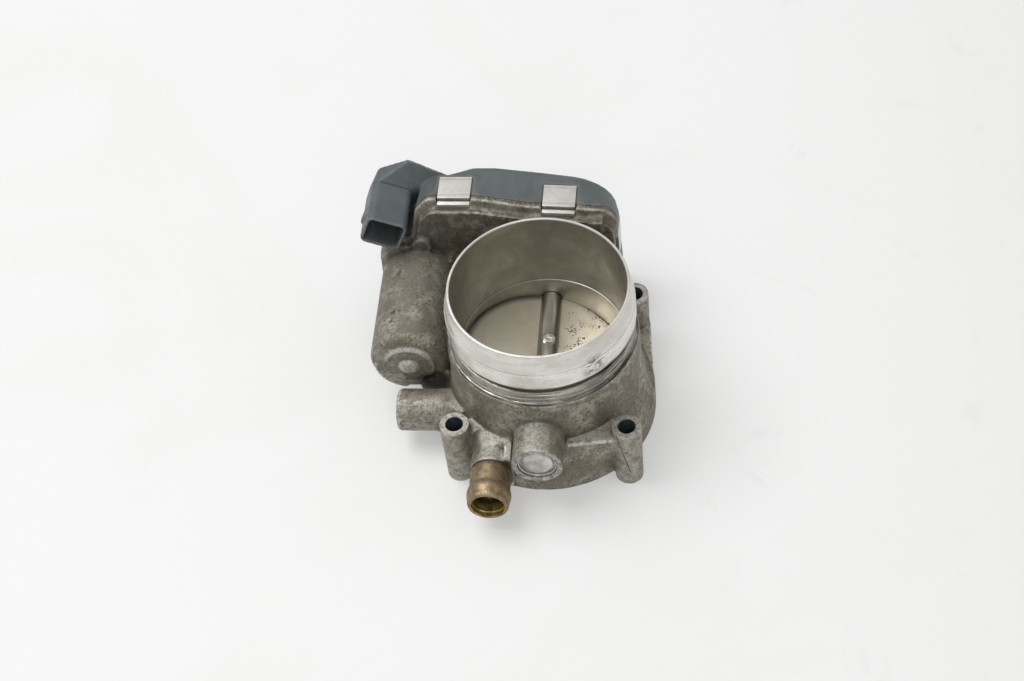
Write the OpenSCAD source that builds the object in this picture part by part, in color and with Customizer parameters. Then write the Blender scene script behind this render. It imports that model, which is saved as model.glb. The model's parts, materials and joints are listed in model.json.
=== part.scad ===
// Electronic throttle body: a die-cast housing with the bore standing upright, a butterfly
// plate on a shaft that runs along Y, and a DC motor and gear train behind a clipped-on cover.
// The frame's origin is the bore's axis on the mounting face, and +Z points out of the inlet.

/* [Bore] */
// Diameter of the lower bore, which the plate closes
bore_d = 68.2; // [67:0.1:69]
// Diameter of the inlet's mouth
inlet_d = 72; // [71:0.1:72.6]
// Height of the step between the two bores
step_z = 42; // [41:0.5:45]
// Height of the housing above its mounting face
body_h = 78.3; // [77:0.1:82]
// Diameter of the bead that holds the intake hose
bead_d = 78; // [77.4:0.1:79]

/* [Flange] */
// Diameter of the round mounting face
flange_d = 90; // [89:0.5:92]
// Pitch circle diameter of the four mounting bolts
bolt_pcd = 100; // [99:0.5:101]
// Diameter of each bolt hole
bolt_hole_d = 7; // [6.6:0.1:7.2]
// Height of the bolt columns
column_h = 32; // [30:0.5:33]
// Diameter of a bolt column at its top
column_d = 12.3; // [12:0.1:13]

/* [Throttle] */
// Height of the shaft's axis
shaft_z = 30; // [29.5:0.1:30.5]
// Diameter of the throttle shaft
shaft_d = 9; // [8.8:0.1:9]
// Thickness of the plate
plate_t = 2; // [1.6:0.1:2.2]
// Angle of the plate from square to the bore when it is closed
closed_angle = 5; // [4:0.5:7]
// Angle of the plate when no current flows
rest_angle = 12.5; // [10:0.5:14]
// Distance of each plate screw from the bore's axis
screw_y = 8.4; // [7:0.1:16]

/* [Motor] */
// Distance of the motor's axis from the bore's axis
motor_x = 57.6; // [57.4:0.1:57.8]
// Height of the motor's axis
motor_z = 31; // [30.8:0.1:31.2]
// Outer diameter of the cast motor pot
pot_d = 33.4; // [33:0.1:34]
// Outer diameter of the motor can
can_d = 27.8; // [27.4:0.1:28]

/* [Gears] */
// Module of the motor pinion and the large idler gear
fast_module = 0.8; // [0.8]
// Teeth on the motor pinion
pinion_teeth = 11; // [11]
// Teeth on the large idler gear
idler_large_teeth = 59; // [59]
// Module of the small idler gear and the sector
slow_module = 1.1; // [1.1]
// Teeth on the small idler gear
idler_small_teeth = 12; // [12]
// Teeth that the sector would have as a whole gear
sector_teeth = 44; // [44]
// Gap left between meshing teeth
backlash = 0.16; // [0.1:0.01:0.3]

/* [Gear case] */
// Front of the case's wall
case_y = 47.4; // [47.2:0.1:47.6]
// Inner floor of the case
floor_y = 50.4; // [50.3:0.1:50.5]
// Plane where the cover meets the case
joint_y = 54.4; // [54.3:0.1:54.5]
// Back of the cover
cover_y = 74; // [73.9:0.1:74.5]
// Thickness of the cover's walls
cover_wall = 2.6; // [2.4:0.1:2.7]

/* [Connector] */
// Width of the socket's mouth
socket_w = 15; // [14.6:0.1:15.4]
// Height of the socket's mouth
socket_h = 13.4; // [13:0.1:13.8]
// Lean of the socket about its own axis
socket_lean = 22.5; // [21:0.5:24]
// Where the socket's mouth lies
socket_y = 44; // [43:0.5:45]

/* [Hose unions] */
// Outer diameter of the brass nipple
nipple_d = 17; // [16.6:0.1:17.2]
// Front end of the brass nipple
nipple_end_y = -65.5; // [-68:0.5:-63]
// Outer diameter of the cast stub
stub_d = 17.8; // [17.4:0.1:18]
// Left end of the cast stub
stub_end_x = -62.4; // [-66:0.1:-62]

/* [Clips] */
// Width of each spring clip
clip_w = 13.9; // [13:0.1:14.5]
// Thickness of the clips' sheet
clip_t = 0.8; // [0.6:0.1:1]

/* [Hidden] */
$fn = 72;
bore_r = bore_d / 2;
inlet_r = inlet_d / 2;
shaft_r = shaft_d / 2;
bolt_xy = bolt_pcd / 2 / sqrt(2);
pressure_angle = 20;
pinion_shift = 0.36;
slow_shift = 0.35;
// Outline of the case and the cover where they meet: x, z and corner radius
case_corners = [
    [29.3, 1.5, 14], [28.3, 66.4, 8], [-8, 68.5, 40], [-22, 71.4, 20], [-31, 73, 8],
    [-51.5, 73.2, 5], [-57, 66.5, 4], [-60.5, 48.6, 2.5], [-75.6, 48.6, 12.5],
    [-75.6, 12.8, 16], [-34, 1.5, 18]
];
// Outline of the case's outer wall, in front of its rim
wall_corners = [
    [28.2, 2.6, 13], [27.2, 63, 8], [-8, 65.2, 40], [-22, 67.8, 20], [-31, 69.4, 10],
    [-50, 69.6, 7], [-55, 64, 5], [-58.5, 48.2, 4], [-74.8, 48, 12.5], [-74.8, 14, 15.5],
    [-34, 2.6, 17]
];
// Outline of the pocket inside the case
pocket_corners = [
    [24.2, 6.6, 10], [24, 60.5, 5], [-8, 62.5, 40], [-22, 65, 20], [-31, 66.2, 6],
    [-47, 66.4, 5], [-52, 60, 4], [-54.4, 44, 3], [-69, 42, 9], [-69, 20, 11], [-34, 7, 14]
];
// Outline of the cover's back
back_corners = [
    [28.6, 2.8, 14], [26.2, 62, 21], [-4, 67.2, 30], [-24, 70.2, 16], [-34, 70.2, 9],
    [-45.5, 65.4, 5], [-55.5, 64, 4], [-60, 49, 2.5], [-75, 48, 12.5],
    [-75, 14, 15.5], [-34, 2.4, 17.5]
];
// The clips: x and z on the outline, and the direction that each faces
clip_places = [
    [-40, 73.1, 90], [4.2, 67.9, 87], [29, 42, 0], [10, 1.5, 270], [-18, 1.5, 270], [-54, 6.8, 255.2]
];

// ---- helpers --------------------------------------------------------------

function unit(v) = v / norm(v);
function involute(a) = tan(a) * 180 / PI - a;
function wrapped(a) = a > 180 ? a - 360 : a < -180 ? a + 360 : a;

// The points of the arc of radius r that rounds corner b between a and c
function corner_arc(a, b, c, r, steps = 6) =
    let (
        u = unit(a - b),
        v = unit(c - b),
        half = acos(u * v) / 2,
        middle = b + unit(u + v) * r / sin(half),
        first = b + u * r / tan(half) - middle,
        last = b + v * r / tan(half) - middle,
        start = atan2(first.y, first.x),
        sweep = wrapped(atan2(last.y, last.x) - start)
    )
    [for (i = [0:steps]) middle + r * [cos(start + sweep * i / steps), sin(start + sweep * i / steps)]];

// A closed outline from corners of [x, z, radius]
function rounded(corners) =
    let (n = len(corners), at = [for (c = corners) [c[0], c[1]]])
    [for (i = [0:n - 1]) each corner_arc(at[(i + n - 1) % n], at[i], at[(i + 1) % n], corners[i][2])];

// The same outline moved inwards by d
function inset(points, d) =
    let (n = len(points))
    [for (i = [0:n - 1])
        let (
            a = unit(points[i] - points[(i + n - 1) % n]),
            b = unit(points[(i + 1) % n] - points[i]),
            side = [-a.y, a.x],
            out = unit(side + [-b.y, b.x])
        )
        points[i] + out * d / (out * side)];

function blend(from, to, share) = [for (i = [0:len(from) - 1]) from[i] * (1 - share) + to[i] * share];

// Radii of a gear: pitch, base, tip and root
function pitch_r(m, teeth) = m * teeth / 2;
function base_r(m, teeth) = pitch_r(m, teeth) * cos(pressure_angle);
function tip_r(m, teeth, shift) = pitch_r(m, teeth) + m * (1 + shift);
function root_r(m, teeth, shift) = pitch_r(m, teeth) - m * (1.25 - shift);

// Half of the angle that a tooth covers at radius r
function half_tooth(m, teeth, shift, r) =
    let (
        thickness = m * (PI / 2 + 2 * shift * tan(pressure_angle)) - backlash / 2,
        at_pitch = thickness / pitch_r(m, teeth) / 2 * 180 / PI,
        lean = r <= base_r(m, teeth) ? 0 : acos(base_r(m, teeth) / r)
    )
    at_pitch + involute(pressure_angle) - involute(lean);

// The outline of one tooth centred on angle a
function tooth(m, teeth, shift, a, steps = 4) =
    let (
        low = max(base_r(m, teeth), root_r(m, teeth, shift)),
        high = tip_r(m, teeth, shift),
        radii = concat([root_r(m, teeth, shift)], [for (i = [0:steps]) low + (high - low) * i / steps]),
        n = len(radii)
    )
    [for (i = [0:2 * n - 1])
        let (
            r = radii[i < n ? i : 2 * n - 1 - i],
            side = i < n ? -1 : 1,
            turn = a + side * half_tooth(m, teeth, shift, r)
        )
        r * [cos(turn), sin(turn)]];

function gear_outline(m, teeth, shift, phase) =
    [for (k = [0:teeth - 1]) each tooth(m, teeth, shift, phase + 360 * k / teeth)];

// Where the idler's axis lies: one mesh distance from the sector and one from the pinion
slow_distance = pitch_r(slow_module, idler_small_teeth + sector_teeth);
fast_distance = pitch_r(fast_module, pinion_teeth + idler_large_teeth);
shaft_to_motor = [-motor_x, motor_z - shaft_z];
axis_gap = norm(shaft_to_motor);
idler_along = (slow_distance ^ 2 - fast_distance ^ 2 + axis_gap ^ 2) / (2 * axis_gap);
idler_off = sqrt(slow_distance ^ 2 - idler_along ^ 2);
idler_at = [0, shaft_z] + idler_along * unit(shaft_to_motor)
    + idler_off * [unit(shaft_to_motor).y, -unit(shaft_to_motor).x];
slow_angle = atan2(idler_at.y - shaft_z, idler_at.x);
fast_angle = atan2(motor_z - idler_at.y, -motor_x - idler_at.x);

// A round bar along Y from y0 to y1
module bar_y(x, z, y0, y1, r) {
    translate([x, y0, z]) rotate([-90, 0, 0]) cylinder(h = y1 - y0, r = r);
}

module ring_y(x, z, y0, y1, outer, inner) {
    difference() {
        bar_y(x, z, y0, y1, outer);
        bar_y(x, z, y0 - 1, y1 + 1, inner);
    }
}

// A round bar along X from x0 to x1
module bar_x(y, z, x0, x1, r) {
    translate([x0, y, z]) rotate([0, 90, 0]) cylinder(h = x1 - x0, r = r);
}

// An outline in x and z, drawn out from y0 to y1
module slab_y(y0, y1) {
    translate([0, y1, 0]) rotate([90, 0, 0]) linear_extrude(y1 - y0) children();
}

// A shape turned about the line along Y through x and z, its profile being [radius, y]
module turned_y(x, z, profile) {
    translate([x, 0, z]) rotate([-90, 0, 0]) rotate_extrude() polygon(profile);
}

// A skin through rings of [outline, y]
module loft(rings) {
    n = len(rings[0][0]);
    last = len(rings) - 1;
    points = [for (ring = rings) each [for (p = ring[0]) [p.x, ring[1], p.y]]];
    sides = [for (k = [0:last - 1], i = [0:n - 1])
        [k * n + i, k * n + (i + 1) % n, (k + 1) * n + (i + 1) % n, (k + 1) * n + i]];
    polyhedron(
        points = points,
        faces = concat([[for (i = [n - 1:-1:0]) i]], sides, [[for (i = [0:n - 1]) last * n + i]]),
        convexity = 8
    );
}

// Places a shape on the case's rim, +Z facing out from it
module on_rim(place) {
    translate([place[0], 0, place[1]]) rotate([0, 90 - place[2], 0]) children();
}

// Tilts the plate and its shaft about the shaft's axis
module at_angle(a) {
    translate([0, 0, shaft_z]) rotate([0, a, 0]) children();
}

// ---- housing --------------------------------------------------------------

wall_front_y = -54.5;
front_boss_r = 10.4;
rear_boss_r = 14;
plug_r = 8.1;
plug_depth = 5;
rim_y = joint_y - 3.1;
needle_seat_r = 6.5;
seal_r = 7;
bearing_r = 9.5;
bearing_bore_r = 4;
bearing_w = 6;
neck_r = shaft_r + 0.3;
neck_end_y = 36.6;
needle_front_y = -47.6;
bearing_front_y = floor_y - bearing_w;
pot_front_y = -3.3;
chamber_r = 14.4;
chamber_y = 0;
nipple_x = -20.3;
nipple_z = 16.5;
nipple_boss_r = 8.7;
nipple_seat_r = 6.8;
nipple_bead_r = 9.25;
nipple_shoulder_y = -48;
stub_y = -16;
stub_z = 16;
gusset_x = -45;
gallery_in = 37.4;
gallery_out = 42.2;
gallery_low = 12;
gallery_high = 20.5;
ear_r = 17;
ear_angle = 35;
screw_hole_r = 1.25;
stop_at = [10, 61.2, 10];

// The turned and cast outside of the bore, as [radius, height]
barrel_profile = [
    [0, 0], [flange_d / 2, 0], [flange_d / 2, 11.5], [43.6, 14.5], [41.6, 20], [40.4, 27],
    [39.9, 34], [39.7, 50.4], [39.2, 51], [38.5, 51.2], [38.5, 57], [37, 57.5], [37, 59.8],
    [bead_d / 2, 60.4], [bead_d / 2, 69], [38.4, 72.5], [37.3, body_h - 2],
    [37.1, body_h - 0.5], [inlet_r + 0.7, body_h], [0, body_h]
];

module bolt_places() {
    for (x = [-bolt_xy, bolt_xy], y = [-bolt_xy, bolt_xy]) translate([x, y, 0]) children();
}

// Flat-topped web that ties the bore to the front right column
module right_web() {
    web_h = 28;
    hull() {
        linear_extrude(1) polygon([[6, -30], [6, -44.2], [15, -42], [24, -37.6], [29, -33], [28.8, -26.7]]);
        translate([0, 0, web_h - 1]) linear_extrude(1)
            polygon([[6, -30], [6, -41], [11.7, -42.8], [30.3, -39.9], [bolt_xy, -bolt_xy], [28.8, -26.7]]);
    }
}

// Web on the left: a ridge that falls away to the nipple's boss
module left_web() {
    ridge_z = 27.4;
    ridge_r = 0.6;
    hull() {
        for (end = [[-28.4, -28.6], [-12.5, -38.6]])
            translate([end.x, end.y, 0]) cylinder(h = ridge_z, r = ridge_r, $fn = 32);
        bar_y(nipple_x, nipple_z, -42, -36, nipple_boss_r - 0.2);
    }
    // Tie to the column
    linear_extrude(ridge_z) polygon([[-26, -26], [-28.8, -26.7], [-bolt_xy, -bolt_xy], [-30.5, -38], [-25, -34]]);
    // Rib between the nipple's boss and the shaft's boss
    translate([-14.8, 0, 0]) rotate([90, 0, 90]) linear_extrude(3.2)
        polygon([[-30, 0], [-30, ridge_z], [-40, ridge_z - 0.6], [-48, ridge_z - 3], [-48, 0]]);
}

// Cast material that joins the bore to the gear case and the motor pot
module rear_webs() {
    translate([-31, 24, 0]) cube([58, case_y - 23, 25]);
    linear_extrude(15) polygon([[30, 8], [44, 8], [41.8, 34], [40.6, 37.5], [30, 37.5]]);
    translate([-47, 3, 14.5]) cube([15, case_y - 2, 15.5]);
    translate([-30, 30, 20]) cube([44, case_y - 29, 26]);
}

module motor_pot() {
    round_r = 3.6;
    pot_r = pot_d / 2;
    steps = 6;
    nose = [for (i = [0:steps])
        [pot_r - round_r + round_r * sin(90 * i / steps), pot_front_y + round_r * (1 - cos(90 * i / steps))]];
    turned_y(-motor_x, motor_z, concat([[0, pot_front_y]], nose, [[pot_r, case_y + 1], [0, case_y + 1]]));
    ring_r = 11.6;
    ring_h = 1.3;
    nub_r = 4.2;
    nub_h = 2.6;
    turned_y(-motor_x, motor_z, [
        [0, pot_front_y - nub_h], [nub_r - 1, pot_front_y - nub_h], [nub_r, pot_front_y - ring_h],
        [ring_r - 1, pot_front_y - ring_h], [ring_r, pot_front_y], [ring_r, chamber_y - 1], [0, chamber_y - 1]
    ]);
    bar_y(-motor_x + 2.4, motor_z + pot_r + 2.4, case_y - 2.2, case_y + 1, 4.2);
}

module case_half() {
    slab_y(case_y, rim_y) polygon(rounded(wall_corners));
    slab_y(rim_y, joint_y) polygon(rounded(case_corners));
    translate([16.6, 45.9, 58.6]) cube([6.2, 6.4, 5.6]);
    bar_y(idler_at.x, idler_at.y, case_y - 3, floor_y, 5);
}

module stop_post() {
    half = 4;
    below = 3.4;
    translate([stop_at.x - half, floor_y - 1, stop_at.z - below])
        cube([2 * half, stop_at.y - floor_y + half + 1, half + below]);
}

// The stub that takes a hose, with its end chamfered
module stub() {
    r = stub_d / 2;
    chamfer = 1;
    reach = -34 - stub_end_x;
    translate([stub_end_x, stub_y, stub_z]) rotate([0, 90, 0]) rotate_extrude()
        polygon([[0, 0], [r - chamfer, 0], [r, chamfer], [r, reach], [0, reach]]);
}

module coolant_bosses() {
    bar_y(nipple_x, nipple_z, nipple_shoulder_y, -28, nipple_boss_r);
    stub();
    // Gusset between the stub, the bore and the front left column
    hull() {
        bar_x(stub_y, stub_z, gusset_x, -36, stub_d / 2 + 0.25);
        translate([-32.5, -24.5, 0]) cylinder(h = 27.4, r = 0.8, $fn = 32);
        translate([-37, -12, 0]) cylinder(h = 25, r = 0.8, $fn = 32);
    }
}

module bore_cuts() {
    step = 0.6;
    translate([0, 0, -1]) cylinder(h = body_h, r = bore_r, $fn = 120);
    // The inlet widens slowly from the step to its mouth
    translate([0, 0, step_z]) cylinder(h = body_h + 1 - step_z, r1 = bore_r + step, r2 = inlet_r, $fn = 120);
    bolt_places() translate([0, 0, -1]) cylinder(h = column_h + 20, r = bolt_hole_d / 2);
    // Room for the heads of the mounting bolts
    bolt_places() translate([0, 0, column_h]) cylinder(h = 10, r = 7.2);
}

module shaft_cuts() {
    bar_y(0, shaft_z, wall_front_y, floor_y + 1, neck_r);
    bar_y(0, shaft_z, wall_front_y - 1, wall_front_y + plug_depth, plug_r);
    bar_y(0, shaft_z, wall_front_y, -neck_end_y, needle_seat_r);
    bar_y(0, shaft_z, neck_end_y, bearing_front_y + 1, seal_r);
    bar_y(0, shaft_z, bearing_front_y, floor_y + 1, bearing_r);
}

module motor_cuts() {
    bar_y(-motor_x, motor_z, chamber_y, joint_y + 1, chamber_r);
    bar_y(-motor_x, motor_z, chamber_y - 3, chamber_y + 1, 3);
    for (side = [-1, 1])
        bar_y(-motor_x + ear_r * cos(ear_angle), motor_z + side * ear_r * sin(ear_angle),
            floor_y - 7, floor_y + 1, screw_hole_r);
}

module case_cuts() {
    slab_y(floor_y, joint_y + 1) polygon(rounded(pocket_corners));
    seal_groove();
    bar_y(idler_at.x, idler_at.y, case_y - 2, floor_y + 1, 2.5);
    for (place = clip_places) on_rim(place) {
        clip_recess();
        hook_recess();
    }
}

seal_out = 3;
seal_in = 3.9;
seal_depth = 1.2;

module seal_groove() {
    slab_y(joint_y - seal_depth, joint_y + 1) difference() {
        polygon(inset(rounded(case_corners), seal_out));
        polygon(inset(rounded(case_corners), seal_in));
    }
}

module coolant_cuts() {
    passage_r = 5;
    bar_y(nipple_x, nipple_z, nipple_shoulder_y - 1, -36.6, nipple_seat_r);
    bar_y(nipple_x, nipple_z, -38, -35.6, passage_r);
    bar_x(stub_y, stub_z, stub_end_x - 1, -37.2, passage_r + 1);
    translate([0, 0, gallery_low]) rotate(202) rotate_extrude(angle = 40)
        translate([gallery_in, 0]) square([gallery_out - gallery_in, gallery_high - gallery_low]);
}

module housing() {
    color([0.60, 0.58, 0.54]) difference() {
        union() {
            difference() {
                union() {
                    rotate_extrude($fn = 120) polygon(barrel_profile);
                    bolt_places() cylinder(h = column_h, d1 = column_d - 0.7, d2 = column_d);
                    right_web();
                    left_web();
                    rear_webs();
                    motor_pot();
                    case_half();
                    coolant_bosses();
                    bar_y(0, shaft_z, wall_front_y, -30, front_boss_r);
                    bar_y(0, shaft_z, 30, floor_y, rear_boss_r);
                }
                bore_cuts();
                motor_cuts();
                case_cuts();
                coolant_cuts();
            }
            stop_post();
        }
        shaft_cuts();
        bar_x(stop_at.y, stop_at.z, 0, 30, 1.7);
    }
}

// ---- pieces in the housing ------------------------------------------------

module bearing_plug() {
    rim = plug_r - 1.1;
    color([0.72, 0.71, 0.69]) turned_y(0, shaft_z, [
        [0, wall_front_y + 0.5], [rim - 0.5, wall_front_y + 0.5], [rim, wall_front_y + 1.3],
        [rim + 0.3, wall_front_y + 0.6], [plug_r, wall_front_y + 0.6], [plug_r, wall_front_y + plug_depth],
        [rim, wall_front_y + plug_depth], [rim, wall_front_y + 2.2], [0, wall_front_y + 2.2]
    ]);
}

module hose_nipple() {
    r = nipple_d / 2;
    end = nipple_end_y;
    color([0.62, 0.47, 0.27]) turned_y(nipple_x, nipple_z, [
        [7, end], [8.1, end], [8.6, end + 1], [8.8, end + 3], [nipple_bead_r, end + 4.6],
        [nipple_bead_r, end + 6.6], [r, end + 8.4], [r, nipple_shoulder_y], [nipple_seat_r, nipple_shoulder_y],
        [nipple_seat_r, -36.8], [5, -36.8], [5, end + 10], [7, end + 8]
    ]);
}

module front_bearing_cup() {
    color("silver") turned_y(0, shaft_z, [
        [4.9, needle_front_y], [needle_seat_r, needle_front_y], [needle_seat_r, -38.8], [4.9, -38.8],
        [4.9, -39.5], [6.1, -39.5], [6.1, needle_front_y + 0.7], [4.9, needle_front_y + 0.7]
    ]);
}

module front_bearing_needles() {
    count = 16;
    roller_r = 0.74;
    color("gainsboro") for (i = [0:count - 1])
        bar_y(5.3 * cos(360 * i / count), shaft_z + 5.3 * sin(360 * i / count), needle_front_y + 0.9, -39.7, roller_r);
}

module front_shaft_seal() {
    color([0.1, 0.1, 0.1]) ring_y(0, shaft_z, -38.6, -neck_end_y, needle_seat_r, shaft_r + 0.05);
}

module rear_shaft_seal() {
    color([0.1, 0.1, 0.1]) ring_y(0, shaft_z, neck_end_y, neck_end_y + 2.6, seal_r, shaft_r + 0.05);
}

ball_track_r = 6.75;
ball_r = 1.5;

// The groove that the bearing's balls run in
module ball_track() {
    translate([0, bearing_front_y + bearing_w / 2, shaft_z]) rotate([-90, 0, 0])
        rotate_extrude() translate([ball_track_r, 0]) circle(r = ball_r + 0.06, $fn = 32);
}

module rear_bearing_outer() {
    color("silver") difference() {
        ring_y(0, shaft_z, bearing_front_y, floor_y, bearing_r, 7.7);
        ball_track();
    }
}

module rear_bearing_inner() {
    color("silver") difference() {
        ring_y(0, shaft_z, bearing_front_y, floor_y, 5.8, bearing_bore_r);
        ball_track();
    }
}

module rear_bearing_balls() {
    count = 9;
    color("gainsboro") for (i = [0:count - 1])
        translate([ball_track_r * cos(360 * i / count), bearing_front_y + bearing_w / 2,
            shaft_z + ball_track_r * sin(360 * i / count)]) sphere(r = ball_r, $fn = 24);
}

// ---- throttle -------------------------------------------------------------

shaft_end_y = 64.4;
hub_flat = 2.9;

module throttle_shaft() {
    head_seat = shaft_r - 0.9;
    color([0.78, 0.77, 0.74]) at_angle(rest_angle) difference() {
        union() {
            bar_y(0, 0, needle_front_y - 1, bearing_front_y, shaft_r);
            bar_y(0, 0, bearing_front_y, 57, bearing_bore_r);
            intersection() {
                bar_y(0, 0, 57, shaft_end_y, bearing_bore_r);
                translate([-10, 50, -hub_flat]) cube([20, 20, 2 * hub_flat]);
            }
        }
        // The slot that holds the plate
        translate([-shaft_r - 1, -bore_r - 0.1, -plate_t / 2]) cube([shaft_d + 2, bore_d + 0.2, plate_t]);
        for (y = [-screw_y, screw_y]) translate([0, y, 0]) {
            translate([0, 0, -shaft_r - 1]) cylinder(h = shaft_d + 2, r = 1.5, $fn = 32);
            translate([0, 0, head_seat]) cylinder(h = 3, r = 3.1, $fn = 32);
        }
    }
}

module throttle_plate() {
    plate_r = bore_r - 0.1;
    lean = rest_angle - closed_angle;
    // The rim is cut as it would close the bore, then the plate opens to its resting angle
    color([0.70, 0.66, 0.58]) at_angle(lean) difference() {
        intersection() {
            cylinder(h = 30, r = plate_r, center = true, $fn = 120);
            rotate([0, closed_angle, 0]) cube([80, 80, plate_t], center = true);
        }
        rotate([0, closed_angle, 0]) for (y = [-screw_y, screw_y])
            translate([0, y, -5]) cylinder(h = 10, r = 1.5, $fn = 32);
    }
}

module plate_screws() {
    seat = shaft_r - 0.9;
    color("silver") at_angle(rest_angle) for (y = [-screw_y, screw_y]) translate([0, y, 0]) {
        translate([0, 0, -shaft_r + 0.4]) cylinder(h = shaft_r + seat, r = 1.5, $fn = 32);
        difference() {
            translate([0, 0, seat]) cylinder(h = 1.3, r = 2.4, $fn = 32);
            // A six-lobed drive
            for (k = [0:2]) translate([0, 0, seat + 1.3]) rotate(60 * k) cube([2.4, 0.8, 1.4], center = true);
        }
    }
}

// ---- gear train -----------------------------------------------------------

sector_front_y = 59;
sector_back_y = 63.5;
idler_front_y = 51;
large_front_y = 64.8;
large_back_y = 69;

module sector_gear() {
    step = 360 / sector_teeth;
    first = -2;
    last = 11;
    web = [for (k = [first:last]) each tooth(slow_module, sector_teeth, -slow_shift, slow_angle + step * k)];
    color([0.90, 0.88, 0.80]) difference() {
        translate([0, 0, shaft_z]) union() {
            slab_y(sector_front_y, sector_back_y)
                polygon(concat([[0, 0]], web));
            bar_y(0, 0, 57.2, 68, 5.9);
            bar_y(0, 0, sector_front_y, sector_back_y, 9);
        }
        at_angle(rest_angle) {
            intersection() {
                bar_y(0, 0, 50, shaft_end_y, bearing_bore_r);
                translate([-10, 40, -hub_flat]) cube([20, 40, 2 * hub_flat]);
            }
        }
        bar_y(0, shaft_z, 64.8, 70, 5);
        for (k = [2, 5, 8])
            bar_y(15 * cos(slow_angle + step * k), shaft_z + 15 * sin(slow_angle + step * k), 58, 65, 3);
    }
}

module position_magnet() {
    color([0.25, 0.25, 0.27]) ring_y(0, shaft_z, 64.8, 67.6, 5, 2.4);
}

spring_front_y = 51.6;
spring_turns = 4;
spring_pitch = 1.45;
spring_r = 10;
wire_r = 0.6;

// A ring of the wire's section, at turn angle a
function wire_ring(a, sides) =
    [for (k = [0:sides - 1])
        let (r = spring_r + wire_r * cos(360 * k / sides))
        [r * cos(a), spring_front_y + wire_r + spring_pitch * a / 360 + wire_r * sin(360 * k / sides),
            shaft_z + r * sin(a)]];

module return_spring() {
    sides = 8;
    steps = 20 * spring_turns;
    rings = [for (i = [0:steps]) wire_ring(360 * spring_turns * i / steps, sides)];
    faces = [for (i = [0:steps - 1], k = [0:sides - 1])
        [i * sides + k, (i + 1) * sides + k, (i + 1) * sides + (k + 1) % sides, i * sides + (k + 1) % sides]];
    color("dimgray") polyhedron(
        points = [for (ring = rings) each ring],
        faces = concat([[for (k = [0:sides - 1]) k]], faces, [[for (k = [sides - 1:-1:0]) steps * sides + k]])
    );
}

module spring_sleeve() {
    color([0.15, 0.15, 0.16]) {
        ring_y(0, shaft_z, floor_y + 0.1, 56.9, 8.6, 6.3);
        ring_y(0, shaft_z, floor_y + 0.1, floor_y + 1, 11.5, 6.3);
    }
}

module stop_screw() {
    color("silver") difference() {
        union() {
            bar_x(stop_at.y, stop_at.z, 1.6, 14, 1.7);
            bar_x(stop_at.y, stop_at.z, 14, 16.4, 3.2);
        }
        translate([16.4, stop_at.y, stop_at.z]) cube([2.4, 0.9, 7], center = true);
    }
}

module idler_pin() {
    color("silver") bar_y(idler_at.x, idler_at.y, case_y - 2, 71.2, 2.5);
}

module idler_gear() {
    pin_r = 2.56;
    color([0.93, 0.91, 0.84]) difference() {
        translate([idler_at.x, 0, idler_at.y]) union() {
            bar_y(0, 0, idler_front_y, 58, 5);
            slab_y(58, large_front_y)
                polygon(gear_outline(slow_module, idler_small_teeth, slow_shift, slow_angle + 180 + 180 / idler_small_teeth));
            slab_y(large_front_y, large_back_y)
                polygon(gear_outline(fast_module, idler_large_teeth, -pinion_shift, fast_angle));
        }
        bar_y(idler_at.x, idler_at.y, idler_front_y - 1, large_back_y + 1, pin_r);
        for (k = [0:5]) bar_y(idler_at.x + 14.5 * cos(60 * k), idler_at.y + 14.5 * sin(60 * k), 64, 70, 4);
    }
}

// ---- motor ----------------------------------------------------------------

can_back_y = 1.4;
can_front_y = 49.6;
motor_shaft_r = 1.15;
core_front_y = 12;
core_back_y = 34;

module motor_can() {
    r = can_d / 2;
    color([0.55, 0.56, 0.58]) turned_y(-motor_x, motor_z, [
        [3.2, can_back_y], [r - 1.5, can_back_y], [r, can_back_y + 1.5], [r, can_front_y],
        [r - 1, can_front_y], [r - 1, can_back_y + 1.2], [3.2, can_back_y + 1.2]
    ]);
}

module motor_magnets() {
    color([0.22, 0.22, 0.23]) for (side = [0, 180])
        translate([-motor_x, 8, motor_z]) rotate([-90, 0, 0]) rotate([0, 0, side + 22])
            rotate_extrude(angle = 136) translate([9.4, 0]) square([3.4, 28]);
}

module motor_rear_bush() {
    color([0.72, 0.55, 0.30]) ring_y(-motor_x, motor_z, can_back_y + 0.2, 8, 3.2, motor_shaft_r + 0.04);
}

module motor_front_bush() {
    color([0.72, 0.55, 0.30]) ring_y(-motor_x, motor_z, 48.4, 53.2, 3.2, motor_shaft_r + 0.04);
}

module ear_places() {
    for (side = [-1, 1])
        translate([-motor_x + ear_r * cos(ear_angle), 0, motor_z + side * ear_r * sin(ear_angle)]) children();
}

module motor_end_plate() {
    front = floor_y;
    back = floor_y + 1.6;
    color([0.62, 0.63, 0.65]) difference() {
        union() {
            bar_y(-motor_x, motor_z, front, back, 14.2);
            bar_y(-motor_x, motor_z, back, 53, 5);
            ear_places() bar_y(0, 0, front, back, 3.4);
            translate([-motor_x + 4, front, motor_z - 10.5]) cube([11.5, 1.6, 21]);
        }
        bar_y(-motor_x, motor_z, front - 1, 54, 3.2);
        ear_places() bar_y(0, 0, front - 1, back + 1, 1.6);
        for (z = [-5, 5]) translate([-motor_x - 10.6, front - 1, motor_z + z - 1.4]) cube([2.2, 4, 2.8]);
    }
}

module motor_screws() {
    color("silver") ear_places() {
        bar_y(0, 0, floor_y - 6.5, floor_y + 1.6, 1.25);
        bar_y(0, 0, floor_y + 1.6, floor_y + 3.4, 2.7);
    }
}

module motor_wave_washer() {
    color("silver") turned_y(-motor_x, motor_z, [
        [8, chamber_y + 0.1], [8.4, chamber_y + 0.1], [13, can_back_y - 0.45], [13, can_back_y - 0.05],
        [12.6, can_back_y - 0.05], [8, chamber_y + 0.5]
    ]);
}

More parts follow.
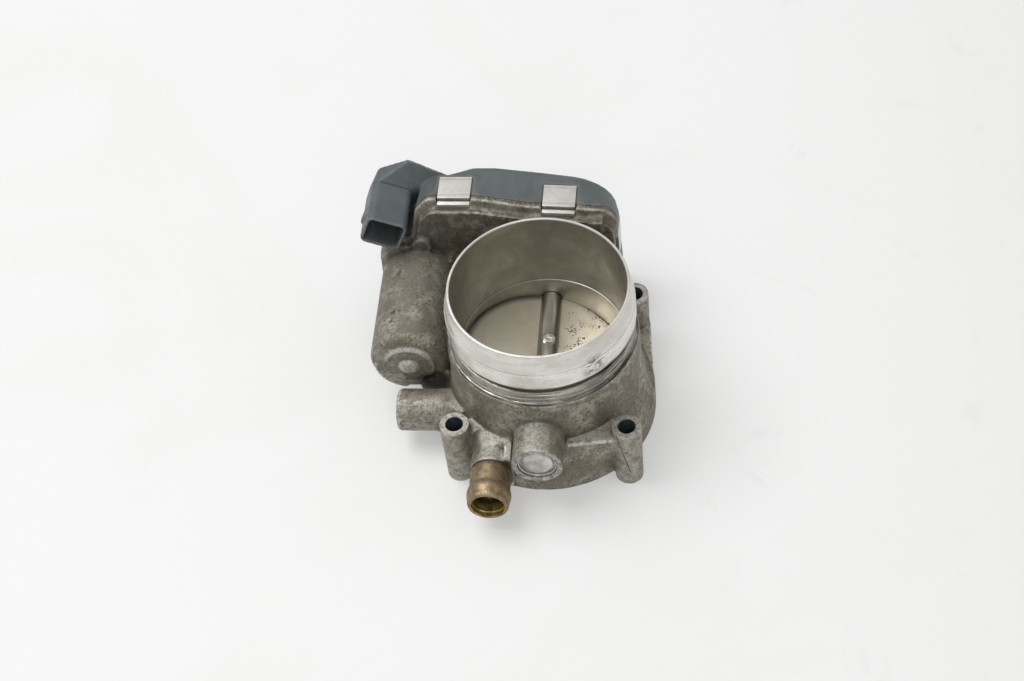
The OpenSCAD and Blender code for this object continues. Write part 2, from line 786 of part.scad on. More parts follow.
module brush_card() {
    color([0.20, 0.16, 0.13]) difference() {
        bar_y(-motor_x, motor_z, 45.4, 47.6, 12.8);
        bar_y(-motor_x, motor_z, 45, 48, 4.4);
        for (z = [-5, 5]) translate([-motor_x - 10, 44, motor_z + z - 1]) cube([1, 6, 2]);
    }
}

module brushes() {
    color([0.2, 0.2, 0.2]) for (side = [0, 180])
        translate([-motor_x, 0, motor_z]) rotate([0, side, 0])
            translate([-2, 40.6, 3.75]) cube([4, 4.6, 6]);
}

module motor_terminals() {
    color([0.75, 0.58, 0.32]) for (z = [-5, 5])
        translate([-motor_x - 10, 45.4, motor_z + z - 1]) cube([1, 13.6, 2]);
}

module armature_core() {
    poles = 5;
    color([0.45, 0.45, 0.47]) difference() {
        bar_y(-motor_x, motor_z, core_front_y, core_back_y, 8.6);
        bar_y(-motor_x, motor_z, core_front_y - 1, core_back_y + 1, motor_shaft_r);
        for (k = [0:poles - 1]) translate([-motor_x, core_front_y - 1, motor_z]) rotate([0, 360 / poles * k, 0]) {
            translate([-0.6, 0, 6]) cube([1.2, core_back_y - core_front_y + 2, 4]);
            translate([0, 0, 5.4]) rotate([-90, 0, 0]) cylinder(h = core_back_y - core_front_y + 2, r = 1.9, $fn = 32);
        }
    }
}

module armature_windings() {
    poles = 5;
    color([0.65, 0.32, 0.15]) {
        for (end = [[core_front_y - 3, core_front_y], [core_back_y, core_back_y + 3]])
            ring_y(-motor_x, motor_z, end[0], end[1], 7.2, 2.6);
        for (k = [0:poles - 1]) translate([-motor_x, core_front_y, motor_z]) rotate([0, 360 / poles * k, 0])
            translate([0, 0, 5.4]) rotate([-90, 0, 0]) cylinder(h = core_back_y - core_front_y, r = 1.7, $fn = 32);
    }
}

module commutator() {
    bars = 5;
    color([0.72, 0.42, 0.22]) difference() {
        ring_y(-motor_x, motor_z, 38.6, 45, 3.6, motor_shaft_r);
        for (k = [0:bars - 1]) translate([-motor_x, 38, motor_z]) rotate([0, 360 / bars * k, 0])
            translate([-0.2, 0, 3]) cube([0.4, 8, 2]);
    }
}

module motor_shaft() {
    color("gainsboro") bar_y(-motor_x, motor_z, can_back_y + 0.4, 69.6, motor_shaft_r);
}

module motor_pinion() {
    phase = fast_angle + 180 + 180 / pinion_teeth;
    color([0.75, 0.6, 0.35]) difference() {
        translate([-motor_x, 0, motor_z]) slab_y(58.5, 69.3)
            polygon(gear_outline(fast_module, pinion_teeth, pinion_shift, phase));
        bar_y(-motor_x, motor_z, 57, 71, motor_shaft_r);
    }
}

// ---- cover ----------------------------------------------------------------

cover_inner_y = cover_y - 2.6;
socket_at = [-70.5, 59.7];
socket_wall = 1.3;
socket_floor_y = 61.5;
crease_y = 65.3;
pin_front_y = 53;
pin_rows = [-2.6, 2.6];
pin_columns = [-4.2, 0, 4.2];
clip_front_y = 50.4;
clip_step_y = 53;
clip_step = 1.4;
clip_back_y = 65.4;
clip_drop = 1.3;
hook_depth = -4.2;

// A rectangle with round corners, centred, as an outline
function tablet(w, h, r) = rounded([[w / 2, -h / 2, r], [w / 2, h / 2, r], [-w / 2, h / 2, r], [-w / 2, -h / 2, r]]);

// Places a shape drawn about the socket's own axis
module at_socket() {
    translate([socket_at.x, 0, socket_at.y]) rotate([0, socket_lean, 0]) children();
}

module socket_shell(y0, y1) {
    at_socket() slab_y(y0, y1) polygon(tablet(socket_w + 2 * socket_wall, socket_h + 2 * socket_wall, 3));
}

// The gable behind the socket, where the pins turn into the cover
module socket_gable() {
    hull() {
        socket_shell(crease_y, crease_y + 0.5);
        slab_y(cover_y - 1, cover_y)
            polygon([[-45.5, 64.8], [-60.6, 74], [-62, 74], [-74, 69.2], [-75, 68.3], [-80.2, 57], [-72, 47], [-52, 56]]);
    }
}

module cover_skin() {
    front = rounded(case_corners);
    back = rounded(back_corners);
    loft([
        [front, joint_y],
        [blend(front, back, 0.25), joint_y + 5],
        [blend(front, back, 0.8), cover_y - 3],
        [inset(back, 0.4), cover_y - 1.2],
        [inset(back, 1.4), cover_y]
    ]);
}

module cover_hollow() {
    // The rim is wider than the wall, to cover the seal
    rim_wall = 4.2;
    front = rounded(case_corners);
    back = rounded(back_corners);
    loft([
        [inset(front, rim_wall), joint_y - 1],
        [inset(front, rim_wall), joint_y + 1.8],
        [inset(blend(front, back, 0.25), cover_wall), joint_y + 4],
        [inset(blend(front, back, 0.9), cover_wall), cover_inner_y]
    ]);
}

// The space that one clip takes in the rim of the cover and the case
module clip_recess() {
    w = clip_w + 0.8;
    translate([-w / 2, clip_front_y - 1.5, -clip_drop]) cube([w, clip_back_y - clip_front_y + 2, 6]);
    translate([-w / 2, clip_front_y - 1.5, -clip_drop - clip_step]) cube([w, joint_y - clip_front_y + 1.5, 6]);
}

// The space that a clip's hook takes in the case's wall, in front of the rim
module hook_recess() {
    w = clip_w + 0.8;
    translate([-w / 2, clip_front_y - 1.5, hook_depth - 0.1]) cube([w, rim_y - clip_front_y + 1.5, 8]);
}

// Solid plastic under a clip, wider at its root
module clip_seat() {
    w = clip_w + 3.2;
    root = 0.6;
    hull() {
        translate([-w / 2 - root, joint_y + 1, -cover_wall - 2]) cube([w + 2 * root, 12.4, 1]);
        translate([-w / 2, joint_y + 1, -1.4]) cube([w, 12.4, 1]);
    }
}

module clip_pocket() {
    translate([-clip_w / 2 - 0.2, clip_back_y - clip_t - 0.2, -3.6]) cube([clip_w + 0.4, clip_t + 0.4, 4]);
}

// The ramp that the plug's catch snaps over
module plug_latch() {
    side = -socket_w / 2 - socket_wall;
    hull() {
        translate([side - 1.2, 49, -3]) cube([2, 3, 6]);
        translate([side + 0.3, 54, -3]) cube([0.8, 1, 6]);
    }
}

module gear_cover() {
    color([0.25, 0.29, 0.31]) difference() {
        union() {
            difference() {
                union() {
                    cover_skin();
                    socket_gable();
                    socket_shell(socket_y, crease_y + 1);
                }
                cover_hollow();
            }
            for (place = clip_places) on_rim(place) clip_seat();
            bar_y(idler_at.x, idler_at.y, large_back_y + 0.5, cover_inner_y + 0.5, 5);
            at_socket() plug_latch();
        }
        at_socket() slab_y(socket_y - 1, socket_floor_y) polygon(tablet(socket_w, socket_h, 2));
        at_socket() pin_bars(0.02);
        bar_y(idler_at.x, idler_at.y, large_back_y, 71.3, 2.5);
        for (place = clip_places) on_rim(place) {
            clip_recess();
            clip_pocket();
        }
    }
}

module pin_bars(grow) {
    for (x = pin_columns, z = pin_rows)
        translate([x - 0.5 - grow, pin_front_y, z - 0.35 - grow]) cube([1 + 2 * grow, 17, 0.7 + 2 * grow]);
}

module connector_pins() {
    color([0.80, 0.66, 0.36]) at_socket() pin_bars(0);
}

module cover_seal() {
    color([0.12, 0.12, 0.12]) slab_y(joint_y - seal_depth, joint_y) difference() {
        polygon(inset(rounded(case_corners), seal_out));
        polygon(inset(rounded(case_corners), seal_in));
    }
}

// One sheet clip: a flat back, a hook over the case's rim, and a tongue in the cover
module clip() {
    top = -clip_drop + 0.1;
    low = top - clip_step;
    translate([-clip_w / 2, 0, 0]) {
        translate([0, clip_step_y, top]) cube([clip_w, clip_back_y - clip_step_y - 0.2, clip_t]);
        translate([0, clip_step_y, low]) cube([clip_w, clip_t, clip_step + 0.1]);
        translate([0, clip_front_y, low]) cube([clip_w, clip_step_y + clip_t - clip_front_y, clip_t]);
        translate([0, clip_front_y, hook_depth]) cube([clip_w, clip_t, low - hook_depth + 0.1]);
        translate([0, clip_back_y - clip_t - 0.2, -3.2]) cube([clip_w, clip_t, top + 3.3]);
    }
}

module cover_clips() {
    color([0.78, 0.77, 0.75]) for (place = clip_places) on_rim(place) clip();
}

module motor_contacts() {
    color([0.75, 0.58, 0.32]) for (z = [-5, 5]) translate([-motor_x - 9.5, 0, motor_z + z]) {
        for (side = [-1, 1]) translate([side * 0.9 - 0.3, 54.5, -1.5]) cube([0.6, 12, 3]);
        translate([-1.2, 66.4, -1.5]) cube([2.4, cover_inner_y - 66.6, 3]);
    }
}

module sensor_board() {
    color([0.12, 0.30, 0.18]) difference() {
        translate([-5, 69.6, 17]) cube([28, 1.6, 26]);
        for (x = [-2, 20], z = [20, 40]) bar_y(x, z, 69, 72, 1.1);
    }
}

module hall_sensor() {
    color([0.08, 0.08, 0.09]) translate([-2, 68.3, shaft_z - 2]) cube([4, 1.3, 4]);
}

housing();
bearing_plug();
hose_nipple();
front_bearing_cup();
front_bearing_needles();
front_shaft_seal();
rear_shaft_seal();
rear_bearing_outer();
rear_bearing_balls();
rear_bearing_inner();
throttle_shaft();
throttle_plate();
plate_screws();
sector_gear();
position_magnet();
return_spring();
spring_sleeve();
stop_screw();
idler_pin();
idler_gear();
motor_can();
motor_magnets();
motor_rear_bush();
motor_end_plate();
motor_front_bush();
motor_screws();
motor_wave_washer();
brush_card();
brushes();
motor_terminals();
armature_core();
armature_windings();
commutator();
motor_shaft();
motor_pinion();
gear_cover();
cover_seal();
cover_clips();
connector_pins();
motor_contacts();
sensor_board();
hall_sensor();
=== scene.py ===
"""The looks of an electronic throttle body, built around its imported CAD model.

Lengths are in millimetres, and MM turns them into metres. Lights and the camera are placed in metres.
"""

import json
import math

import bmesh
import bpy
import numpy as np
from mathutils import Matrix, Vector
from mathutils.bvhtree import BVHTree
from mathutils.kdtree import KDTree


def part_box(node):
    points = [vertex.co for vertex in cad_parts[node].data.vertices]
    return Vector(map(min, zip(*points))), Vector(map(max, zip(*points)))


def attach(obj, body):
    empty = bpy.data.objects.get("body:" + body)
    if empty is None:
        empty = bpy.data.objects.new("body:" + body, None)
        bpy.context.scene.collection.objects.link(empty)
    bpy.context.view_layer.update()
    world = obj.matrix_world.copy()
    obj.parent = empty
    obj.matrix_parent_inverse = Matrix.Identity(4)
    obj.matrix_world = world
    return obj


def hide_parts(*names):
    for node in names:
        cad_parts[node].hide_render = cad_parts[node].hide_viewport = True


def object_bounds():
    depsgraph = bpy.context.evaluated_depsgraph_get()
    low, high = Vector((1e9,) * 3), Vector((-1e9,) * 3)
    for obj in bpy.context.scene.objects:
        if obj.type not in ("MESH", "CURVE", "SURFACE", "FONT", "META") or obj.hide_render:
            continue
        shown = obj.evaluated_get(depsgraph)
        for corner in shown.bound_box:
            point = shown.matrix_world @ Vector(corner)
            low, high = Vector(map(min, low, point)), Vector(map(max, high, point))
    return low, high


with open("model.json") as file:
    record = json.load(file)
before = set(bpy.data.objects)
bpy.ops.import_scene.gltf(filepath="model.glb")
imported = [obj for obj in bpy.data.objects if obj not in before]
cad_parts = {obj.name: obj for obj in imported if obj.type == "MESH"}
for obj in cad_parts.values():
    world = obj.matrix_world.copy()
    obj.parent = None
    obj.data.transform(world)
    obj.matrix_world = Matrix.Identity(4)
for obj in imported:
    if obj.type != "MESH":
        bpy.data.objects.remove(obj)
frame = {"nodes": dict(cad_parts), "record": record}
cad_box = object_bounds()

MM = 0.001
HOUSING_BODY = "housing_body"
CAST_VOXEL, COVER_VOXEL = 0.6, 0.5
FACE_BUDGET = 150000
BALL_STEPS = 16
MACHINING_STOCK = 0.8
ORIGIN = (0, 0, 0)

# ---- the housing's driving sizes, in millimetres ----------------------------

BORE_R = 34.1
INLET_R = 36.0
STEP_Z = 42.0
STEP = 0.6
FLANGE_R = 45.0
COLUMN_R = 5.8
COLUMN_TOP = 32.0
HOLE_R = 3.5
PITCH_D = 100
SHAFT_Z = 30.0
NECK_R = 4.8
BOSS_R = 10.1
PLUG_R = 8.1
PLUG_DEPTH = 5.0
STUB_Y, STUB_Z, STUB_BORE_R = -16.0, 16.0, 6.0
STUB_END_X = -62.4
NIPPLE_X, NIPPLE_Z, NIPPLE_ROOT_Y = -20.3, 16.5, -48
SNOUT_Z = 49.8
LAND_LOW, GROOVE_LOW = 51.2, 57.5
BEAD_LOW, BEAD_HIGH = 60.6, 68.8
POT_X, POT_Z, POT_FRONT = -57.6, 31.0, -3.3
CLIP_STEP_Y, CLIP_BACK_Y = 53.0, 65.2
CREASE_Y = 65.3
SPOT_FACE_R = 7.2
THROAT_R = 39.3

# ---- what the visual adds, cuts off or smooths ------------------------------

DIMPLES = [((-64.85, 34.6, 46.5), 1.7), ((-64.9, 13.0, 46.5), 1.7), ((-65.4, 7.9, 46.3), 1.6)]
SCOOP = ((-49.3, -4.4, 21.5), 3.3)
NOSE_WALL = ((-54, -3, 11), (-38, 2.4, 25))
RIB_FOOT = ((-15.5, -49, -2), (-11, -43.3, 7))
SEAT_REACH, SEAT_ROUNDS = 3.5, 30

mounts = {m["name"]: m for m in frame["record"]["mounts"]}
HOUSING_LOW, HOUSING_HIGH = (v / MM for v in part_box("housing"))
BOSS_FRONT = HOUSING_LOW.y
BODY_TOP = HOUSING_HIGH.z
BOLT_XY = PITCH_D / 2 / math.sqrt(2)
BOLT_PLACES = [(x * BOLT_XY, y * BOLT_XY) for x in (-1, 1) for y in (-1, 1)]


# ---- mesh tools -------------------------------------------------------------

def new_object(name, mesh):
    obj = bpy.data.objects.new(name, mesh)
    bpy.context.scene.collection.objects.link(obj)
    return obj


def from_points(name, points, faces):
    """A closed mesh from points in millimetres, with its faces turned outwards."""
    mesh = bpy.data.meshes.new(name)
    mesh.from_pydata([[c * MM for c in p] for p in points], [], faces)
    bm = bmesh.new()
    bm.from_mesh(mesh)
    bmesh.ops.recalc_face_normals(bm, faces=bm.faces)
    bm.to_mesh(mesh)
    bm.free()
    return new_object(name, mesh)


def lathe(name, profile, centre=(0, 0, 0), axis="z", segments=128):
    """A solid turned about an axis through centre.

    The profile holds (radius, height). It starts and ends on the axis, or is a closed loop off it.
    """
    rings = [p for p in profile if p[0] > 0]
    points = []
    for r, h in rings:
        for k in range(segments):
            a = 2 * math.pi * k / segments
            u, v = r * math.cos(a), r * math.sin(a)
            points.append({"z": (u, v, h), "y": (u, h, v), "x": (h, u, v)}[axis])
    joined = len(rings) == len(profile)
    faces = []
    for i in range(len(rings) if joined else len(rings) - 1):
        a, b = i * segments, (i + 1) % len(rings) * segments
        faces += [(a + k, a + (k + 1) % segments, b + (k + 1) % segments, b + k) for k in range(segments)]
    if not joined:
        last = (len(rings) - 1) * segments
        faces += [tuple(range(segments)), tuple(range(last, last + segments))]
    points = [tuple(p[i] + centre[i] for i in range(3)) for p in points]
    return from_points(name, points, faces)


def rounded(profile, radius, steps=4):
    """The same open profile with each inner corner turned into an arc."""
    result = [profile[0]]
    for before, corner, after in zip(profile, profile[1:], profile[2:]):
        b, c, a = Vector(before), Vector(corner), Vector(after)
        u, v = b - c, a - c
        reach = min(radius, u.length * 0.45, v.length * 0.45)
        start, end = c + u.normalized() * reach, c + v.normalized() * reach
        for i in range(steps + 1):
            t = i / steps
            p = start * (1 - t) ** 2 + c * 2 * t * (1 - t) + end * t ** 2
            result.append((p.x, p.y))
    return result + [profile[-1]]


def rod(name, start, end, radius, axis, centre, chamfer=0.0, segments=64):
    """A round bar along an axis, with an optional flare of its far end, for cutting a chamfered hole."""
    profile = [(0, start), (radius, start)]
    if chamfer:
        wide = radius + chamfer
        profile += [(radius, end - 1 - chamfer), (wide, end - 1), (wide, end), (0, end)]
    else:
        profile += [(radius, end), (0, end)]
    return lathe(name, profile, centre, axis, segments)


def block(name, low, high):
    corners = [(x, y, z) for x in (low[0], high[0]) for y in (low[1], high[1]) for z in (low[2], high[2])]
    faces = [(0, 1, 3, 2), (4, 6, 7, 5), (0, 4, 5, 1), (2, 3, 7, 6), (0, 2, 6, 4), (1, 5, 7, 3)]
    return from_points(name, corners, faces)


def cad_copy(node):
    """A welded copy of a CAD node's mesh, to work on."""
    mesh = frame["nodes"][node].data.copy()
    bm = bmesh.new()
    bm.from_mesh(mesh)
    bmesh.ops.remove_doubles(bm, verts=bm.verts, dist=1e-6)
    bm.to_mesh(mesh)
    bm.free()
    mesh.materials.clear()
    for name in [a.name for a in mesh.attributes if a.name.startswith("custom_normal")]:
        mesh.attributes.remove(mesh.attributes[name])
    return new_object(node + "_work", mesh)


def settle(obj):
    """Applies the object's modifiers."""
    graph = bpy.context.evaluated_depsgraph_get()
    mesh = bpy.data.meshes.new_from_object(obj.evaluated_get(graph))
    old = obj.data
    obj.modifiers.clear()
    obj.data = mesh
    bpy.data.meshes.remove(old)
    return obj


def combine(obj, tool, operation):
    """Unites the object with the tool, or cuts the tool out of it, and removes the tool."""
    modifier = obj.modifiers.new("cut", "BOOLEAN")
    modifier.operation = operation
    modifier.solver = "MANIFOLD"
    modifier.object = tool
    modifier.material_mode = "TRANSFER"
    settle(obj)
    mesh = tool.data
    bpy.data.objects.remove(tool)
    bpy.data.meshes.remove(mesh)
    return obj


def add(obj, *tools):
    for tool in tools:
        combine(obj, tool, "UNION")
    return obj


def cut(obj, *tools):
    for tool in tools:
        combine(obj, tool, "DIFFERENCE")
    return obj


def remesh(obj, voxel):
    modifier = obj.modifiers.new("remesh", "REMESH")
    modifier.mode = "VOXEL"
    modifier.voxel_size = voxel * MM
    return settle(obj)


def thin_out(obj, faces):
    """Brings the mesh down to about this many triangles."""
    now = sum(len(p.vertices) - 2 for p in obj.data.polygons)
    if now > faces:
        modifier = obj.modifiers.new("thin", "DECIMATE")
        modifier.ratio = faces / now
        settle(obj)
    return obj


class Surface:
    """A mesh's points and edges as arrays, for smoothing and for measuring how it bends."""

    def __init__(self, mesh):
        self.mesh = mesh
        self.count = len(mesh.vertices)
        edges = np.empty(len(mesh.edges) * 2, np.int64)
        mesh.edges.foreach_get("vertices", edges)
        self.a, self.b = edges[0::2], edges[1::2]
        self.degree = np.maximum(np.bincount(edges, minlength=self.count), 1)[:, None]

    def points(self):
        co = np.empty(self.count * 3)
        self.mesh.vertices.foreach_get("co", co)
        return co.reshape(-1, 3)

    def place(self, co):
        self.mesh.vertices.foreach_set("co", co.ravel())
        self.mesh.update()

    def normals(self):
        normal = np.empty(self.count * 3)
        self.mesh.vertex_normals.foreach_get("vector", normal)
        return normal.reshape(-1, 3)

    def mean(self, values):
        """The mean of each point's neighbours."""
        def total(column):
            forth = np.bincount(self.a, column[self.b], self.count)
            return forth + np.bincount(self.b, column[self.a], self.count)

        return np.stack([total(column) for column in values.T], 1) / self.degree


def soften(obj, rounds, hollow, edge, slide=0.3):
    """Smooths a mesh: each round, inner corners fill in by hollow and outer edges wear off by edge."""
    surface = Surface(obj.data)
    for _ in range(rounds):
        co, normal = surface.points(), surface.normals()
        move = surface.mean(co) - co
        along = (move * normal).sum(1)[:, None]
        share = np.where(along > 0, hollow, edge)
        surface.place(co + normal * along * share + (move - normal * along) * slide)
    return obj


class Bends:
    """How the surface of an evenly meshed object bends, in millimetres.

    Each point stands proud of its near surroundings, or lies deep in its far ones.
    """

    def __init__(self, obj, near=3, far=26):
        surface = Surface(obj.data)
        self.points, normal = surface.points(), surface.normals()
        smooth = self.points.copy()
        for i in range(far):
            smooth = surface.mean(smooth)
            if i == near - 1:
                proud = -((smooth - self.points) * normal).sum(1) / MM
        deep = ((smooth - self.points) * normal).sum(1) / MM
        self.values = {"proud": surface.mean(proud[:, None])[:, 0], "deep": surface.mean(deep[:, None])[:, 0]}

    def carry_to(self, obj):
        """Stores the bends on another mesh of the same surface, as attributes of its points."""
        tree = KDTree(len(self.points))
        for i, place in enumerate(self.points):
            tree.insert(place, i)
        tree.balance()
        nearest = [tree.find(vertex.co)[1] for vertex in obj.data.vertices]
        for name, values in self.values.items():
            attribute = obj.data.attributes.new(name, "FLOAT", "POINT")
            attribute.data.foreach_set("value", values[nearest].astype(np.float32))
        return obj


def bevel(obj, width, segments=2, angle=30):
    modifier = obj.modifiers.new("bevel", "BEVEL")
    modifier.width = width * MM
    modifier.segments = segments
    modifier.limit_method = "ANGLE"
    modifier.angle_limit = math.radians(angle)
    return settle(obj)


def shade(obj, angle=32):
    obj.data.shade_smooth()
    obj.data.set_sharp_from_angle(angle=math.radians(angle))
    return obj


# ---- materials --------------------------------------------------------------

class Look:
    """A material, built node by node. Texture coordinates are the object's own, in millimetres."""

    def __init__(self, name):
        self.material = bpy.data.materials.new(name)
        self.material.use_nodes = True
        self.tree = self.material.node_tree
        self.shader = self.tree.nodes["Principled BSDF"]
        coordinates = self.node("ShaderNodeTexCoord").outputs["Object"]
        self.place = self.vector("SCALE", coordinates, 1 / MM)
        self.x, self.y, self.z = self.split(self.place)

    def node(self, kind, **settings):
        node = self.tree.nodes.new(kind)
        for key, value in settings.items():
            setattr(node, key, value)
        return node

    def split(self, vector):
        node = self.node("ShaderNodeSeparateXYZ")
        self.feed(node.inputs[0], vector)
        return node.outputs

    def feed(self, socket, value):
        if isinstance(value, bpy.types.NodeSocket):
            self.tree.links.new(value, socket)
        elif value is not None:
            socket.default_value = value

    def vector(self, operation, a, b):
        node = self.node("ShaderNodeVectorMath", operation=operation)
        self.feed(node.inputs[0], a)
        self.feed(node.inputs["Scale"] if operation == "SCALE" else node.inputs[1], b)
        return node.outputs["Value" if operation in ("LENGTH", "DISTANCE") else 0]

    def math(self, operation, a, b=None):
        node = self.node("ShaderNodeMath", operation=operation)
        self.feed(node.inputs[0], a)
        self.feed(node.inputs[1], b)
        return node.outputs[0]

    def product(self, first, *others):
        for other in others:
            first = self.math("MULTIPLY", first, other)
        return first

    def swing(self, value, size):
        """Moves a value of 0..1 to -size/2..size/2, to make an edge ragged."""
        return self.product(self.math("SUBTRACT", value, 0.5), size)

    def noise(self, per_mm, detail=4.0, rough=0.55, stretch=None, shift=0.0, warp=0.0, place=None):
        place = place or self.place
        place = place if stretch is None else self.vector("MULTIPLY", place, stretch)
        place = self.vector("ADD", place, (shift, shift * 1.7, shift * 0.6)) if shift else place
        node = self.node("ShaderNodeTexNoise")
        self.feed(node.inputs["Vector"], place)
        self.feed(node.inputs["Scale"], per_mm)
        self.feed(node.inputs["Detail"], detail)
        self.feed(node.inputs["Roughness"], rough)
        self.feed(node.inputs["Distortion"], warp)
        return node.outputs["Fac"]

    def cells(self, per_mm):
        node = self.node("ShaderNodeTexVoronoi", feature="F1")
        self.feed(node.inputs["Vector"], self.place)
        self.feed(node.inputs["Scale"], per_mm)
        return node.outputs["Distance"]

    def step(self, value, low, high, to_low=0.0, to_high=1.0):
        """Turns value from low..high into to_low..to_high, smoothly and clamped."""
        node = self.node("ShaderNodeMapRange", interpolation_type="SMOOTHSTEP")
        for socket, number in zip(node.inputs, (value, low, high, to_low, to_high)):
            self.feed(socket, number)
        return node.outputs[0]

    def band(self, value, start, full, full_end, end):
        """1 where value lies between full and full_end, falling to 0 at start and at end."""
        return self.product(self.step(value, start, full), self.step(value, end, full_end))

    def mix(self, share, a, b):
        node = self.node("ShaderNodeMix", data_type="RGBA", blend_type="MIX")
        for socket, value in ((node.inputs[0], share), (node.inputs[6], a), (node.inputs[7], b)):
            self.feed(socket, (*value, 1) if isinstance(value, tuple) else value)
        return node.outputs[2]

    def upward(self):
        """How far the surface faces up: 1 for a level top, 0 for an upright wall."""
        return self.split(self.node("ShaderNodeNewGeometry").outputs["Normal"])[2]

    def bend(self, name):
        return self.node("ShaderNodeAttribute", attribute_name=name).outputs["Fac"]

    def around(self, x=0.0, z=None):
        """Coordinates on a cylinder: length round it from the front, length along it, and radius.

        Its axis runs up through the origin, or along Y through x and z.
        """
        if z is None:
            across, ahead, along = self.x, self.product(self.y, -1.0), self.z
        else:
            across, ahead, along = self.math("SUBTRACT", self.x, x), self.math("SUBTRACT", self.z, z), self.y
        squares = self.math("ADD", self.product(across, across), self.product(ahead, ahead))
        radius = self.math("SQRT", squares)
        return self.product(self.math("ARCTAN2", across, ahead), radius), along, radius

    def unrolled(self, round_scale, along_scale, x=0.0, z=None):
        """A texture place that runs round a cylinder, for tool lines and for scratches."""
        turn, along, radius = self.around(x, z)
        node = self.node("ShaderNodeCombineXYZ")
        self.feed(node.inputs[0], self.product(turn, round_scale))
        self.feed(node.inputs[1], self.product(along, along_scale))
        self.feed(node.inputs[2], self.product(radius, 0.3))
        return node.outputs[0]

    def near(self, place, reach, soft):
        """1 inside a ball of this reach round a place in millimetres, falling to 0 over soft."""
        return self.step(self.vector("DISTANCE", self.place, place), reach + soft, reach)

    def bump(self, height, depth, under=None):
        """Raises the surface by height times depth, in millimetres."""
        node = self.node("ShaderNodeBump")
        self.feed(node.inputs["Height"], height)
        self.feed(node.inputs["Distance"], depth * MM)
        self.feed(node.inputs["Normal"], under)
        return node.outputs[0]

    def finish(self, colour, rough, metal, normal=None, specular=0.5):
        self.feed(self.shader.inputs["Base Color"], (*colour, 1) if isinstance(colour, tuple) else colour)
        self.feed(self.shader.inputs["Roughness"], rough)
        self.feed(self.shader.inputs["Metallic"], metal)
        self.feed(self.shader.inputs["Normal"], normal)
        self.feed(self.shader.inputs["Specular IOR Level"], specular)
        return self.material


SAND_DARK, SAND_LIGHT = (0.138, 0.124, 0.092), (0.345, 0.326, 0.260)
CREAM, BROWN, SOOT_GREY = (0.43, 0.41, 0.355), (0.150, 0.124, 0.088), (0.150, 0.138, 0.112)
SPARKLE, SKY_LIT = (0.48, 0.47, 0.425), (0.47, 0.455, 0.405)
BARE_AND_HIGHLIGHT, POT_END_HIGHLIGHT = (0.62, 0.61, 0.575), (0.56, 0.545, 0.50)
PORE, GRIME_AND_SHADE, DEEP_SHADOW = (0.050, 0.044, 0.034), (0.052, 0.046, 0.036), (0.028, 0.025, 0.020)
PIT_SHADE_BLACK, OIL_AND_SHADE_BLACK = (0.035, 0.030, 0.024), (0.040, 0.034, 0.026)
SEAM_X, SEAM_Z, SEAM_LEAN = 32.0, 28.8, 0.213
NOSE_SHADOW = (-48.4, -3.0, 20.5)
BEAD_STAIN = (24.5, -31.0, 65.8)
NECK_STAIN = (31.5, -20.5, 58.0)


def pot_marks(look, colour, mottle):
    """The motor pot: painted shade in its dimples, and a painted highlight on the ring and nub on its end."""
    # Painted shade: each dimple is filled with near black, as the shade that falls inside it.
    for place, radius in DIMPLES:
        inside = look.near(place, radius - 0.7, 0.7)
        colour = look.mix(look.product(inside, 0.85), colour, PIT_SHADE_BLACK)
    # Painted highlight: the top of the ring and the nub on the pot's end are made pale, as if catching the
    # light.
    _, ahead, radius = look.around(POT_X, POT_Z)
    above = look.step(look.z, POT_Z + 2, POT_Z + 9)
    ring = look.band(radius, 8.9, 9.9, 11.6, 12.4)
    ring = look.product(ring, above, look.step(ahead, POT_FRONT - 0.1, POT_FRONT - 0.7))
    nub = look.product(look.step(radius, 5.0, 3.8), look.step(ahead, POT_FRONT - 1.0, POT_FRONT - 1.6))
    bright = look.product(look.math("MAXIMUM", ring, nub), look.step(mottle, 0.36, 0.54, 0.25, 0.85))
    return look.mix(bright, colour, POT_END_HIGHLIGHT)


def front_marks(look, colour, clouds):
    """The front: a dark end to the nipple's boss, painted light on the columns, and a casting seam down the
    right one.
    """
    _, ahead, radius = look.around(NIPPLE_X, NIPPLE_Z)
    root = look.step(ahead, NIPPLE_ROOT_Y + 0.8, NIPPLE_ROOT_Y + 0.2)
    root = look.product(look.step(radius, 11.4, 10.4), root, 0.85)
    colour = look.mix(root, colour, (0.055, 0.046, 0.034))
    # Painted light: the front columns are made paler, as if lit from the front.
    columns = look.product(look.step(look.y, -28, -33), look.step(look.math("ABSOLUTE", look.x), 27, 31))
    columns = look.product(columns, look.step(clouds, 0.35, 0.60, 0.10, 0.55))
    colour = look.mix(columns, colour, (0.45, 0.43, 0.375))
    run = look.math("SUBTRACT", look.x, look.product(look.math("SUBTRACT", SEAM_Z, look.z), SEAM_LEAN))
    seam = look.band(run, SEAM_X - 0.4, SEAM_X - 0.1, SEAM_X + 0.1, SEAM_X + 0.4)
    seam = look.product(seam, look.step(look.y, -35, -37), look.step(look.z, 6, 11))
    return look.mix(look.product(seam, 0.80), colour, OIL_AND_SHADE_BLACK)


def case_marks(look, colour, clouds, mottle):
    """The gear case: its front wall lies in shade, and old dirt fills its joint with the cover."""
    wall = look.product(look.band(look.y, 40, 46, 49.0, 50.6), look.step(look.z, 40, 48))
    wall = look.product(wall, look.step(clouds, 0.35, 0.62, 0.70, 0.35))
    colour = look.mix(wall, colour, (0.070, 0.060, 0.046))
    joint = look.product(look.step(look.y, 52.0, 53.4), look.step(mottle, 0.62, 0.44, 0.35, 0.85))
    return look.mix(joint, colour, (0.062, 0.050, 0.034))


